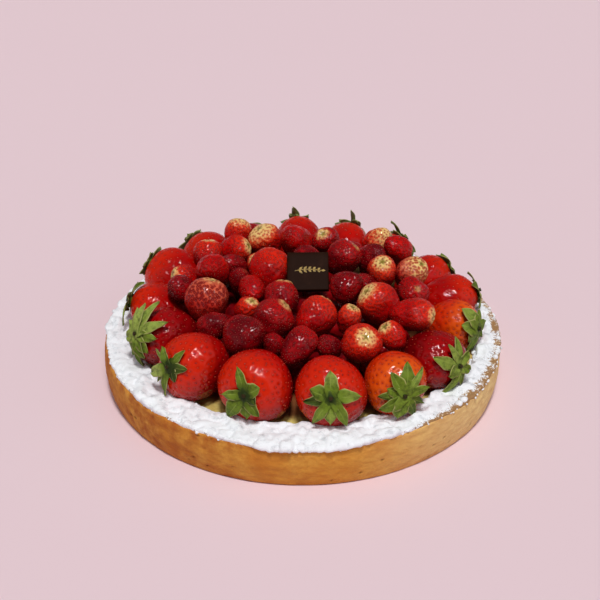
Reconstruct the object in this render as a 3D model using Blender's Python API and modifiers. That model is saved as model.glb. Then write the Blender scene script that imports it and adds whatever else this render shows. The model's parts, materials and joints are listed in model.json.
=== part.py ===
"""Strawberry tart, in metres, +Z up.

A round shortcrust case is filled with pastry cream. Large strawberries lie on the cream in a ring, with
their leafy stem ends outward, round a heap of small hulled strawberries. A chocolate plaque leans on top of
the heap.
The origin is the centre of the tart's base, and the front of the tart faces -Y.
"""

import math
import random
from typing import NamedTuple

import bmesh
import bpy
import numpy as np
from mathutils import Vector
from mathutils.bvhtree import BVHTree

MM = 0.001
GAP = 0.3 * MM                     # left between pieces that touch
FUSE = 0.01 * MM                   # points closer than this become one

# Shortcrust case
CASE_RADIUS = 110 * MM             # outer edge of the rim
BASE_RADIUS = 108.6 * MM           # the wall leans outward from here
WALL_BULGE = 1.7 * MM              # how far the wall swells between base and rim
CASE_HEIGHT = 24 * MM
WALL = 7 * MM                      # thickness at the rim
WALL_TAPER = 1 * MM                # how much thicker the wall is at the floor
FLOOR = 5 * MM
FOOT_ROUNDING = 1.5 * MM
RIM_ROUNDING = 1.6 * MM
CASE_STEPS = 48                    # straight facets round the case
RIM_WAVE = 0.35 * MM               # how far the hand-lined wall strays from round and level

# Pastry cream
CREAM_LEVEL = 19 * MM              # flat part, under the berries
CREAM_EDGE_LEVEL = 21.5 * MM       # where it climbs to the wall
CREAM_FLAT_RADIUS = 84 * MM
CREAM_CLIMB_WIDTH = 13 * MM        # of the climb
CREAM_WAVE = 0.4 * MM              # unevenness of the cream that shows inside the rim
CREAM_STEPS = 40

# Strawberries
STEM_SHARE = 0.4                   # share of a berry's length between its stem end and its widest circle
STEM_ROUNDNESS = 0.85              # under 1 gives broad shoulders round the stem
POINTEDNESS = (1.05, 1.35)         # from a blunt berry to a pointed one
RING_SIDES, RING_BANDS = 12, 8
HEAP_SIDES, HEAP_BANDS = 9, 6
LOBES = 0.035                      # how uneven a berry's girth is, as a share of its radius
CALYX_REACH = 0.74                 # length of the leaves, as a share of the berry's radius
CALYX_NOTCH = 0.28                 # where the leaves part, as a share of the berry's radius
CALYX_THICKNESS = 1 * MM           # of the star above the berry's skin
CALYX_CURL = 2.2 * MM              # how far the leaf tips stand off the berry
CALYX_ROOT = 3 * MM                # how deep the leaves' star runs into the berry

# Heap
HEAP_CREST = 55.5 * MM             # height of the berries' centres in the middle of the heap
HEAP_DROP = 5.5 * MM               # how much lower they lie at the heap's skirt
HEAP_SKIRT = 60 * MM
MOUND_RADIUS = 55 * MM             # lower layer of berries, under the ones that show whole
MOUND_CREST = 40 * MM
MOUND_STEPS, MOUND_BANDS = 20, 7
MOUND_EDGE = 2 * MM                # height of the mound's edge
MOUND_BERRY = 17 * MM              # size of the humps on the lower layer
MOUND_BULGE = 4 * MM               # height of the humps
MOUND_CLEARANCE = 1.2 * MM         # left under the berries that lie on the mound
MOUND_FEEL = 3.5 * MM              # how far round a point the mound looks for berries above it
PUSH_ROUNDS = 600                  # most steps that crowded berries are eased apart in
PUSH_SHARE = 0.6                   # share of each overlap that a step clears

# Chocolate plaque
PLAQUE_SIDE = 23 * MM
PLAQUE_THICKNESS = 3 * MM
PLAQUE_BEVEL = 0.4 * MM
PLAQUE_CENTRE = Vector((3 * MM, 5 * MM, 58.5 * MM))
PLAQUE_LEAN = 36                   # degrees that its face is tipped up from lying flat
PLAQUE_TURN = -2                   # degrees that it is turned to the right

COLOURS = {                        # base colour, roughness
    "crust": ((0.55, 0.27, 0.08), 0.75),
    "cream": ((0.80, 0.62, 0.28), 0.45),
    "chocolate": ((0.035, 0.020, 0.018), 0.35),
    "red": ((0.55, 0.012, 0.008), 0.2),
    "dark": ((0.22, 0.004, 0.008), 0.25),
    "orange": ((0.70, 0.07, 0.01), 0.2),
    "pale": ((0.60, 0.10, 0.06), 0.3),
}


class RingBerry(NamedTuple):
    """A large strawberry of the ring. Lengths in millimetres, angles in degrees."""

    place: float        # where it lies round the tart: 0 at the front, 90 at the right
    distance: float     # from the middle of the tart to the middle of the berry
    width: float
    length: float
    stem_turn: float    # which way the stem end points: 0 to the front, 90 to the right
    stem_lift: float    # how far the stem end points upward
    colour: str


class HeapBerry(NamedTuple):
    """A small strawberry of the heap. Lengths in millimetres, angles in degrees."""

    x: float
    y: float
    lift: float         # above the heap's smooth dome
    width: float
    length: float
    stem_turn: float
    stem_lift: float
    colour: str


RING = [
    RingBerry(-69, 80, 34, 40, -56, 25, "dark"),
    RingBerry(-46, 81, 36.5, 38, -46, 23, "red"),
    RingBerry(-18, 79, 38, 38, -18, 17, "red"),
    RingBerry(10, 82, 36.5, 38, -1, 24, "red"),
    RingBerry(34, 86.5, 32.5, 37, 13, 12, "orange"),
    RingBerry(55, 85, 32, 38, 43, 14, "dark"),
    RingBerry(82, 85, 27, 33, 56, 11, "orange"),
    RingBerry(101, 87, 27, 36, 100, 14, "red"),
    RingBerry(120, 84, 27, 36, 120, 14, "red"),
    RingBerry(142, 82, 28, 37, 142, 18, "red"),
    RingBerry(162, 82, 29, 37, 160, 18, "red"),
    RingBerry(-178, 83, 30, 37, 182, 20, "red"),
    RingBerry(-158, 82, 29, 37, -158, 18, "dark"),
    RingBerry(-138, 84, 31, 37, -138, 20, "red"),
    RingBerry(-117, 85, 32, 38, -117, 18, "red"),
    RingBerry(-94, 82, 30, 38, -94, 16, "red"),
]

HEAP = [
    HeapBerry(-39, 60, 3, 16, 20, 159, 60, "pale"),
    HeapBerry(-35, 46, 0, 17, 21, 77, 26, "red"),
    HeapBerry(-19, 52, 2, 20, 22, -75, 65, "pale"),
    HeapBerry(-4, 52, 0, 19, 25, 152, -50, "red"),
    HeapBerry(12, 52, -1, 16, 19, -40, 60, "dark"),
    HeapBerry(28, 54, -4, 14, 19, -135, -30, "dark"),
    HeapBerry(43, 51, 0, 15, 19, 85, 25, "pale"),
    HeapBerry(24, 31, 1, 19, 23, 89, 45, "dark"),
    HeapBerry(37, 36, -1, 16, 20, -129, -50, "dark"),
    HeapBerry(51, 44, 2, 16, 20, 121, -40, "red"),
    HeapBerry(62, 20, 1, 18, 22, 66, 50, "pale"),
    HeapBerry(45, 16, 1, 17, 20, -11, 70, "pale"),
    HeapBerry(24, -5, 0, 18, 19, -108, -40, "dark"),
    HeapBerry(61, -3, 0, 18, 22, 19, 45, "dark"),
    HeapBerry(42, -20, 1, 22, 26, -85, 50, "red"),
    HeapBerry(60, -35, 0, 19, 25, 67, 8, "red"),
    HeapBerry(8, -31, 0, 21, 25, 131, 50, "red"),
    HeapBerry(25, -31, -1, 13, 17, 108, 70, "pale"),
    HeapBerry(31, -53, 0, 21, 24, 15, 50, "red"),
    HeapBerry(47, -46, -1, 15, 19, -72, 55, "red"),
    HeapBerry(-1, -56, -1, 16, 23, 133, 30, "dark"),
    HeapBerry(14, -53, -4, 13, 16, 141, -50, "dark"),
    HeapBerry(-15, -34, 0, 21, 24, 104, 50, "dark"),
    HeapBerry(-11, -15, 0, 18, 22, 166, 55, "dark"),
    HeapBerry(-31, -50, 0, 21, 25, -121, -40, "dark"),
    HeapBerry(-48, -35, -2, 16, 20, -125, -30, "dark"),
    HeapBerry(-53, -15, 1, 23, 26, 140, 70, "pale"),
    HeapBerry(-29, -23, -1, 14, 17, 54, 65, "red"),
    HeapBerry(-28, -4, -1, 16, 20, -168, -15, "red"),
    HeapBerry(-35, 15, -4, 14, 18, 180, -50, "dark"),
    HeapBerry(-50, 15, 1, 19, 23, 170, -40, "red"),
    HeapBerry(-64, 17, 0, 15, 20, -76, 24, "red"),
    HeapBerry(-52, 38, 2, 17, 21, 180, 65, "red"),
    HeapBerry(-37, 34, -3, 15, 19, 129, -50, "dark"),
    HeapBerry(-17, 14, 2, 23, 28, 140, 50, "red"),
    HeapBerry(-28, 31, -3, 13, 16, -31, 50, "pale"),
    HeapBerry(-15, -50, -5, 13, 16, 152, -50, "dark"),
    HeapBerry(-68, 0, -1, 15, 19, 126, -40, "dark"),
    HeapBerry(35, 6, -4, 14, 18, 152, -50, "dark"),
    HeapBerry(9, 28, -3, 18, 22, 40, -30, "dark"),
]


def clear_scene():
    """Starts from an empty scene."""
    for old in list(bpy.data.objects):
        bpy.data.objects.remove(old, do_unlink=True)


def new_collection(name):
    """A collection linked to the scene."""
    made = bpy.data.collections.new(name)
    bpy.context.scene.collection.children.link(made)
    return made


def new_material(name, colour, roughness):
    """A Principled material of one colour."""
    made = bpy.data.materials.new(name)
    made.use_nodes = True
    shader = made.node_tree.nodes["Principled BSDF"]
    shader.inputs["Base Color"].default_value = (*colour, 1.0)
    shader.inputs["Roughness"].default_value = roughness
    return made


def toward(turn, lift):
    """The direction that points turn degrees round from the front and lift degrees upward."""
    turn, lift = math.radians(turn), math.radians(lift)
    return Vector((math.sin(turn) * math.cos(lift), -math.cos(turn) * math.cos(lift), math.sin(lift)))


def add_object(name, mesh, collection, colour):
    """Puts a mesh into the collection as an object, with its own material and smooth shading."""
    made = bpy.data.objects.new(name, mesh)
    collection.objects.link(made)
    mesh.materials.clear()
    mesh.materials.append(new_material(name, *COLOURS[colour]))
    mesh.shade_smooth()
    mesh.set_sharp_from_angle(angle=math.radians(50))
    return made


def arc(middle_x, middle_z, radius, first, last, steps):
    """Points on an arc in the XZ plane, from one angle to another in degrees, counted from +X toward +Z."""
    angles = np.radians(np.linspace(first, last, steps + 1))
    return [(middle_x + radius * math.cos(a), middle_z + radius * math.sin(a)) for a in angles]


def turned(outline, steps):
    """The mesh that an outline of (radius, height) points sweeps round the Z axis."""
    line = bpy.data.meshes.new("outline")
    line.from_pydata([(x, 0, z) for x, z in outline], [(i, i + 1) for i in range(len(outline) - 1)], [])
    lathe = bpy.data.objects.new("lathe", line)
    bpy.context.scene.collection.objects.link(lathe)
    screw = lathe.modifiers.new("turn", "SCREW")
    screw.steps = screw.render_steps = steps
    screw.use_merge_vertices = True
    screw.merge_threshold = FUSE
    evaluated = lathe.evaluated_get(bpy.context.evaluated_depsgraph_get())
    mesh = bpy.data.meshes.new_from_object(evaluated)
    bpy.data.objects.remove(lathe)
    bpy.data.meshes.remove(line)
    return mesh


def wave(angle, counts, seed):
    """A smooth closed wave round the tart, between about -1 and 1, made of a few sines."""
    chance = random.Random(seed)
    total = 0.0
    for count in counts:
        total += math.sin(count * angle + chance.uniform(0, math.tau))
    return total / math.sqrt(len(counts))


def wall_radius(height):
    """Outer radius of the wall at a height: a slight outward lean with a bulge halfway up."""
    share = height / CASE_HEIGHT
    return BASE_RADIUS + (CASE_RADIUS - BASE_RADIUS) * share + WALL_BULGE * 4 * share * (1 - share)


def case_outline():
    """Half section of the case: middle of the floor, inner wall, rim, outer wall, foot, base."""
    inner = CASE_RADIUS - WALL
    rim_height = CASE_HEIGHT - RIM_ROUNDING
    rim_in = arc(inner + RIM_ROUNDING, rim_height, RIM_ROUNDING, 180, 90, 2)
    rim_out = arc(wall_radius(rim_height) - RIM_ROUNDING, rim_height, RIM_ROUNDING, 90, 0, 2)
    wall = [(wall_radius(share * CASE_HEIGHT), share * CASE_HEIGHT) for share in (0.67, 0.38, 0.17)]
    foot = arc(wall_radius(FOOT_ROUNDING) - FOOT_ROUNDING, FOOT_ROUNDING, FOOT_ROUNDING, 0, -90, 2)
    floor = [(0, FLOOR), (inner - WALL_TAPER, FLOOR)]
    return floor + rim_in + rim_out + wall + foot + [(0, 0)]


def make_case(collection):
    """The shortcrust case, a little out of round and uneven along its rim, as a hand-lined tin leaves it."""
    mesh = turned(case_outline(), CASE_STEPS)
    for vertex in mesh.vertices:
        angle = math.atan2(vertex.co.y, vertex.co.x)
        height = max(0.0, vertex.co.z - FOOT_ROUNDING) / (CASE_HEIGHT - FOOT_ROUNDING)
        if vertex.co.xy.length > CASE_RADIUS - WALL - WALL_TAPER / 2:
            outward = vertex.co.xy.normalized() * RIM_WAVE * wave(angle, (3, 5, 8), 11) * height
            vertex.co.x += outward.x
            vertex.co.y += outward.y
            vertex.co.z += RIM_WAVE * wave(angle, (4, 7, 11), 12) * height ** 2
    return add_object("crust", mesh, collection, "crust")


def cream_height(radius):
    """Height of the cream's top at a distance from the middle: flat, then a smooth climb toward the wall."""
    share = min(max((radius - CREAM_FLAT_RADIUS) / CREAM_CLIMB_WIDTH, 0.0), 1.0)
    return CREAM_LEVEL + (CREAM_EDGE_LEVEL - CREAM_LEVEL) * share * share * (3 - 2 * share)


def cream_outline():
    """Half section of the cream: its top from the middle to the wall, then down the wall and back under."""
    wall_top = CASE_RADIUS - WALL - GAP - RIM_WAVE * 1.5
    wall_foot = wall_top - WALL_TAPER
    climb = [CREAM_FLAT_RADIUS + CREAM_CLIMB_WIDTH * share for share in (0, 0.3, 0.65, 1)]
    top = [(radius, cream_height(radius)) for radius in [0, CREAM_FLAT_RADIUS / 2, *climb, wall_top]]
    return top + [(wall_foot, FLOOR + GAP), (0, FLOOR + GAP)]


def make_cream(collection):
    """The pastry cream, flat under the berries and wavy where it shows inside the rim."""
    mesh = turned(cream_outline(), CREAM_STEPS)
    for vertex in mesh.vertices:
        if vertex.co.z > CREAM_LEVEL + 0.1 * MM:
            angle = math.atan2(vertex.co.y, vertex.co.x)
            vertex.co.z += CREAM_WAVE * wave(angle, (5, 9, 13), 21)
    return add_object("pastry_cream", mesh, collection, "cream")


def berry_mesh(width, length, sides, bands, seed):
    """A strawberry, stem end up, widest circle at the origin: a flat dome above it and a cone below."""
    chance = random.Random(seed)
    twist_two, twist_three = chance.uniform(0, math.tau), chance.uniform(0, math.tau)
    point = chance.uniform(*POINTEDNESS)
    form = bmesh.new()
    bmesh.ops.create_uvsphere(form, u_segments=sides, v_segments=bands, radius=1)
    for vertex in form.verts:
        girth, angle = vertex.co.xy.length, math.atan2(vertex.co.y, vertex.co.x)
        above = vertex.co.z > 0
        reach = girth ** (STEM_ROUNDNESS if above else point) * width / 2
        reach *= 1 + LOBES * (math.cos(2 * angle + twist_two) + 0.5 * math.cos(3 * angle + twist_three))
        depth = vertex.co.z * length * (STEM_SHARE if above else 1 - STEM_SHARE)
        vertex.co = Vector((reach * math.cos(angle), reach * math.sin(angle), depth))
    mesh = bpy.data.meshes.new("berry")
    form.to_mesh(mesh)
    form.free()
    return mesh


def calyx_mesh(width, length, seed):
    """A star of leaves draped over a berry's stem end, closed, with its underside inside the berry."""
    chance = random.Random(seed)
    leaves = chance.choice((5, 6, 7))
    star = bmesh.new()
    bmesh.ops.create_circle(star, cap_ends=True, cap_tris=True, segments=2 * leaves, radius=1)
    turn = chance.uniform(0, math.tau)
    for vertex in star.verts:
        if vertex.co.length < 0.5:
            vertex.co.z = STEM_SHARE * length + CALYX_THICKNESS
            continue
        step = round(math.atan2(vertex.co.y, vertex.co.x) / math.tau * 2 * leaves)
        is_tip = step % 2 == 0
        share = CALYX_REACH * chance.uniform(0.85, 1.0) if is_tip else CALYX_NOTCH
        stand = CALYX_CURL if is_tip else CALYX_THICKNESS
        slope = math.asin(share ** (1 / STEM_ROUNDNESS))
        angle = turn + step * math.pi / leaves
        reach = share * width / 2 + stand * math.sin(slope) / 2
        height = (STEM_SHARE * length + stand) * math.cos(slope)
        vertex.co = Vector((reach * math.cos(angle), reach * math.sin(angle), height))
    lower = bmesh.ops.extrude_face_region(star, geom=star.faces[:])
    sunk = [item for item in lower["geom"] if isinstance(item, bmesh.types.BMVert)]
    bmesh.ops.translate(star, verts=sunk, vec=(0, 0, -CALYX_ROOT))
    bmesh.ops.recalc_face_normals(star, faces=star.faces[:])
    mesh = bpy.data.meshes.new("calyx")
    star.to_mesh(mesh)
    star.free()
    return mesh


def corners(mesh):
    """A mesh's points, one a row."""
    flat = np.empty(len(mesh.vertices) * 3, dtype=np.float32)
    mesh.vertices.foreach_get("co", flat)
    return flat.reshape(-1, 3).astype(float)


def all_round(count):
    """Directions spread evenly over half a sphere, followed by their opposites."""
    steps = np.arange(count) + 0.5
    height = 1 - steps / count
    turn = steps * math.pi * (3 - math.sqrt(5))
    flat = np.sqrt(1 - height ** 2)
    half = np.stack([flat * np.cos(turn), flat * np.sin(turn), height], axis=1)
    return np.concatenate([half, -half])


DIRECTIONS = all_round(160)


class Placed:
    """A piece that can be moved without turning: its meshes, its middle and how freely it gives way."""

    def __init__(self, mesh, stem, middle, ease, leaves=None):
        self.mesh = mesh
        self.leaves = leaves
        self.turn = Vector((0, 0, 1)).rotation_difference(stem)
        self.points = corners(mesh) @ np.array(self.turn.to_matrix()).T
        self.middle = np.array(middle, dtype=float)
        self.ease = ease
        outermost = self.points
        if leaves:
            outermost = np.concatenate([self.points, corners(leaves) @ np.array(self.turn.to_matrix()).T])
        self.reach = (outermost @ DIRECTIONS.T).max(axis=0)

    def rest_on_cream(self):
        """Sets the piece down on the cream, clear of its waves by the gap."""
        radii = np.hypot(self.points[:, 0] + self.middle[0], self.points[:, 1] + self.middle[1])
        levels = np.array([cream_height(radius) for radius in radii])
        levels[radii > CREAM_FLAT_RADIUS] += 2 * CREAM_WAVE
        self.middle[2] = (levels + GAP - self.points[:, 2]).max()


def push_apart(pieces):
    """Moves crowded pieces away from each other, along each pair's shortest way, until a gap parts them."""
    first, second = np.triu_indices(len(pieces), 1)
    ease = np.array([piece.ease for piece in pieces])
    moving = ease[first] + ease[second] > 0
    first, second = first[moving], second[moving]
    reach = np.array([piece.reach for piece in pieces])
    opposite = np.roll(reach, len(DIRECTIONS) // 2, axis=1)
    for _ in range(PUSH_ROUNDS):
        middle = np.array([piece.middle for piece in pieces])
        depth = reach[first] + opposite[second] - (middle[second] - middle[first]) @ DIRECTIONS.T
        nearest = depth.argmin(axis=1)
        overlap = depth[np.arange(len(first)), nearest] + GAP
        touching = overlap > 0
        if not touching.any():
            break
        a, b = first[touching], second[touching]
        push = DIRECTIONS[nearest[touching]] * (overlap[touching] / (ease[a] + ease[b]))[:, None]
        shift = np.zeros_like(middle)
        np.add.at(shift, a, -push * ease[a][:, None])
        np.add.at(shift, b, push * ease[b][:, None])
        for piece, move in zip(pieces, shift):
            piece.middle += move * PUSH_SHARE


def settle_ring():
    """Meshes and places of the large strawberries, lying on the cream."""
    placed = []
    for number, berry in enumerate(RING, 1):
        mesh = berry_mesh(berry.width * MM, berry.length * MM, RING_SIDES, RING_BANDS, number)
        leaves = calyx_mesh(berry.width * MM, berry.length * MM, 200 + number)
        middle = toward(berry.place, 0) * berry.distance * MM
        piece = Placed(mesh, toward(berry.stem_turn, berry.stem_lift), middle, 1.0, leaves)
        piece.rest_on_cream()
        placed.append(piece)
    push_apart(placed)
    for piece in placed:
        piece.rest_on_cream()
        piece.ease = 0.0
    return placed


def dome(x, y):
    """Height of the berries' centres over a point of the heap."""
    out = math.hypot(x, y) / HEAP_SKIRT
    return HEAP_CREST - HEAP_DROP * out ** 1.5


def settle_heap(obstacles):
    """Meshes and places of the small strawberries, piled over the ring and round the plaque."""
    placed = []
    for number, berry in enumerate(HEAP, 1):
        mesh = berry_mesh(berry.width * MM, berry.length * MM, HEAP_SIDES, HEAP_BANDS, 100 + number)
        x, y = berry.x * MM, berry.y * MM
        middle = Vector((x, y, dome(x, y) + berry.lift * MM))
        placed.append(Placed(mesh, toward(berry.stem_turn, berry.stem_lift), middle, 1.0))
    push_apart(placed + obstacles)
    return placed


def put(name, piece, collection, colour):
    """Adds a placed piece to the collection."""
    made = add_object(name, piece.mesh, collection, colour)
    made.rotation_mode = "QUATERNION"
    made.rotation_quaternion = piece.turn
    made.location = piece.middle
    return made


def add_leaves(berry, mesh, cutters):
    """Joins the leaves to a large strawberry."""
    leaves = bpy.data.objects.new(berry.name + "_leaves", mesh)
    cutters.objects.link(leaves)
    leaves.rotation_mode = "QUATERNION"
    leaves.rotation_quaternion = berry.rotation_quaternion
    leaves.location = berry.location
    leaves.hide_render = True
    leaves.display_type = "WIRE"
    union = berry.modifiers.new("leaves", "BOOLEAN")
    union.operation = "UNION"
    union.object = leaves


def plaque_piece():
    """The chocolate plaque's mesh, leaning with its face toward the front."""
    form = bmesh.new()
    bmesh.ops.create_cube(form, size=1)
    bmesh.ops.scale(form, vec=(PLAQUE_SIDE, PLAQUE_SIDE, PLAQUE_THICKNESS), verts=form.verts[:])
    bmesh.ops.bevel(form, geom=form.edges[:], offset=PLAQUE_BEVEL, segments=1, affect="EDGES")
    mesh = bpy.data.meshes.new("plaque")
    form.to_mesh(mesh)
    form.free()
    piece = Placed(mesh, toward(PLAQUE_TURN, 90 - PLAQUE_LEAN), PLAQUE_CENTRE, 0.0)
    return piece


def ceiling(x, y, trees):
    """Height of the lowest berry surface over a point and round it, seen from the base."""
    lowest = math.inf
    spots = [Vector((x, y, 0))]
    spots += [spots[0] + toward(step * 45, 0) * MOUND_FEEL for step in range(8)]
    for spot in spots:
        hits = [tree.ray_cast(spot, Vector((0, 0, 1)))[0] for tree in trees]
        lowest = min([lowest, *(hit.z for hit in hits if hit is not None)])
    return lowest


def hump(x, y):
    """How far the lower layer's berries bulge over a point, from 0 between them to 1 on top of one."""
    row_step = MOUND_BERRY * math.sqrt(3) / 2
    row = round(y / row_step)
    shift = MOUND_BERRY / 2 if row % 2 else 0.0
    column = round((x - shift) / MOUND_BERRY)
    away = math.hypot(x - shift - column * MOUND_BERRY, y - row * row_step) / (MOUND_BERRY / 2)
    return math.sqrt(1 - min(away, 1.0) ** 2)


def make_mound(collection, pieces):
    """The lower layer of small strawberries: one bumpy solid, up to the berries that show whole."""
    floor = CREAM_LEVEL + GAP
    spread = np.linspace(0, 1, MOUND_BANDS + 1)
    top = [(MOUND_RADIUS * s, floor + MOUND_EDGE + (MOUND_CREST - floor) * (1 - s ** 2)) for s in spread]
    mesh = turned(top + [(MOUND_RADIUS, floor), (0, floor)], MOUND_STEPS)
    trees = []
    for piece in pieces:
        faces = [tuple(face.vertices) for face in piece.mesh.polygons]
        trees.append(BVHTree.FromPolygons((piece.points + piece.middle).tolist(), faces))
    for vertex in mesh.vertices:
        if vertex.co.z > floor + MOUND_EDGE / 2:
            bulge = MOUND_BULGE * (hump(vertex.co.x, vertex.co.y) - 0.5)
            limit = ceiling(vertex.co.x, vertex.co.y, trees) - MOUND_CLEARANCE
            vertex.co.z = max(floor + MOUND_EDGE / 2, min(vertex.co.z + bulge, limit))
    return add_object("heap_lower_layer", mesh, collection, "dark")


def main():
    """Builds the tart from the case inward and upward."""
    clear_scene()
    tart = new_collection("strawberry_tart")
    cutters = new_collection("cutters")
    cutters.hide_render = True
    make_case(tart)
    make_cream(tart)
    ring = settle_ring()
    plaque = plaque_piece()
    heap = settle_heap(ring + [plaque])
    make_mound(tart, ring + heap + [plaque])
    put("chocolate_plaque", plaque, tart, "chocolate")
    for number, (berry, piece) in enumerate(zip(RING, ring), 1):
        made = put(f"ring_strawberry_{number:02d}", piece, tart, berry.colour)
        add_leaves(made, piece.leaves, cutters)
    for number, (berry, piece) in enumerate(zip(HEAP, heap), 1):
        put(f"small_strawberry_{number:02d}", piece, tart, berry.colour)


main()
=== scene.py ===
"""The looks of a strawberry tart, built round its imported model.

Each part of the tart is a class: the shortcrust case, the pastry cream, the icing sugar, the large
strawberries with their leaves, the small strawberries, the layer under them and the chocolate plaque.
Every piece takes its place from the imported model's nodes. Lengths are in metres, and MM turns millimetres
into them. The front of the tart faces -Y, and its base stands at z = 0.
"""

import itertools
import json
import logging
import math
from dataclasses import dataclass, field
from enum import Enum
from typing import Any, NamedTuple

import bmesh
import bpy
import numpy as np
from mathutils import Matrix, Quaternion, Vector
from mathutils.bvhtree import BVHTree


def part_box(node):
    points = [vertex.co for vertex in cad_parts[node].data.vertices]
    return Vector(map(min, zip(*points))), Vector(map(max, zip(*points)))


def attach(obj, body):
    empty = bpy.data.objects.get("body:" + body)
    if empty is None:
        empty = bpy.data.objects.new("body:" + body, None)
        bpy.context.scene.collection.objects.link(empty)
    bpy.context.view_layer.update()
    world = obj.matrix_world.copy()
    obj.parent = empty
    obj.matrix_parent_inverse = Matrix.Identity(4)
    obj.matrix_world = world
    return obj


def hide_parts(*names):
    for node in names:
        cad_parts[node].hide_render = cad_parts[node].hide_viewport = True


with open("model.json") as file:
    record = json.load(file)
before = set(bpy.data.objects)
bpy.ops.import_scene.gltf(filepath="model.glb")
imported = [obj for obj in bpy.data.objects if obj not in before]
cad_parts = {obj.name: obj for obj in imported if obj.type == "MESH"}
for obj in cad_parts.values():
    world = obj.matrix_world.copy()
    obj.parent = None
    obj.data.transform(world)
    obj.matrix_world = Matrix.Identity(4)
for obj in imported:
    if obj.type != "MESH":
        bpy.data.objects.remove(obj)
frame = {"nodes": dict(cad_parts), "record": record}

LOG = logging.getLogger("tart")
MM = 0.001
TAU = math.tau
WELD = 0.001 * MM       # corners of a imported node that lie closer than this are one
SLOTS: dict[str, str] = {row["node"]: row["material_slot"] for row in frame["record"]["subparts"]}

Colour = tuple[float, float, float]
Face = tuple[int, ...]
Points = np.ndarray
Mesh = bpy.types.Mesh
Material = bpy.types.Material
Socket = bpy.types.NodeSocket


# ---- Shared tools ----


def shown(red: float, green: float, blue: float) -> Colour:
    """Turns a display colour into the linear colour that a shader takes.

    Args:
        red: Red, from 0 to 255.
        green: Green, from 0 to 255.
        blue: Blue, from 0 to 255.

    Returns:
        The three linear values, from 0 to 1.
    """
    return tuple(
        share / 12.92 if share <= 0.04045 else ((share + 0.055) / 1.055) ** 2.4
        for share in (red / 255, green / 255, blue / 255)
    )


def all_shown(*colours: tuple[float, float, float]) -> list[Colour]:
    """Turns several display colours into linear ones."""
    return [shown(*colour) for colour in colours]


def smooth(share: Points) -> Points:
    """Eases a value from 0 to 1, level at both ends."""
    share = np.clip(share, 0.0, 1.0)
    return share * share * (3 - 2 * share)


class Lumps:
    """Smooth random relief in space, the same on every run."""

    CELLS = 32

    def __init__(self, seed: int) -> None:
        """Fills a block of random values that repeats through space."""
        self.values = np.random.default_rng(seed).uniform(-1, 1, (self.CELLS,) * 3)

    def at(self, points: Points, size: float) -> Points:
        """Relief at some points.

        Args:
            points: The points, one a row.
            size: The size of one lump.

        Returns:
            A value from -1 to 1 for each point.
        """
        scaled = points / size
        cell = np.floor(scaled).astype(int)
        inside = smooth(scaled - cell)
        total = np.zeros(len(points))
        for corner in itertools.product((0, 1), repeat=3):
            near = (cell + corner) % self.CELLS
            weight = np.prod(np.where(corner, inside, 1 - inside), axis=1)
            total += weight * self.values[near[:, 0], near[:, 1], near[:, 2]]
        return total

    def rough(self, points: Points, size: float, layers: int = 3) -> Points:
        """Relief of several sizes, each half as large and half as high as the last.

        Args:
            points: The points, one a row.
            size: The size of the largest lumps.
            layers: How many sizes there are.

        Returns:
            A value from -1 to 1 for each point.
        """
        total = np.zeros(len(points))
        for layer in range(layers):
            total += self.at(points + layer * size, size / 2**layer) / 2**layer
        return total / (2 - 2.0 ** (1 - layers))


def grid_faces(rows: int, columns: int, closed: bool) -> list[Face]:
    """Four-cornered faces between neighbouring rows of points.

    Args:
        rows: How many rows there are.
        columns: How many points each row has.
        closed: Whether a row's last point joins its first.

    Returns:
        The faces, as tuples of point numbers.
    """
    row = np.arange(rows - 1)[:, None] * columns
    column = np.arange(columns if closed else columns - 1)[None, :]
    after = (column + 1) % columns
    corners = [row + column, row + after, row + columns + after, row + columns + column]
    return [tuple(face) for face in np.stack(corners, axis=-1).reshape(-1, 4).tolist()]


def turned_faces(rows: int, columns: int) -> list[Face]:
    """Faces of a closed turned solid whose rows of points run out from the middle of its top, then down."""
    ends = [tuple(reversed(range(columns))), tuple(range((rows - 1) * columns, rows * columns))]
    return [tuple(reversed(face)) for face in grid_faces(rows, columns, True) + ends]


def ring_angles(count: int) -> Points:
    """Evenly spaced angles round a circle."""
    return np.arange(count) * TAU / count


def polar_points(radius: Points | float, angle: Points | float, level: Points | float) -> Points:
    """Points given by their distance from the axis, their angle round it and their height, one a row."""
    return np.stack(np.broadcast_arrays(radius * np.cos(angle), radius * np.sin(angle), level), axis=1)


def make_mesh(name: str, points: Points, faces: list[Face], marks: dict[str, Points] | None = None) -> Mesh:
    """Makes a smooth mesh.

    Args:
        name: The mesh's name.
        points: Its points, one a row.
        faces: Its faces, as tuples of point numbers.
        marks: Values to keep at each point for the finish to read, by name.

    Returns:
        The mesh.
    """
    mesh = bpy.data.meshes.new(name)
    mesh.from_pydata(points.tolist(), [], faces)
    for key, values in (marks or {}).items():
        layer = mesh.attributes.new(key, "FLOAT", "POINT")
        layer.data.foreach_set("value", np.asarray(values, dtype=np.float32))
    mesh.shade_smooth()
    return mesh


def mesh_of(name: str, form: bmesh.types.BMesh) -> Mesh:
    """Turns an edited form into a mesh.

    Args:
        name: The mesh's name.
        form: The form, which is freed.

    Returns:
        The mesh.
    """
    mesh = bpy.data.meshes.new(name)
    form.to_mesh(mesh)
    form.free()
    return mesh


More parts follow.
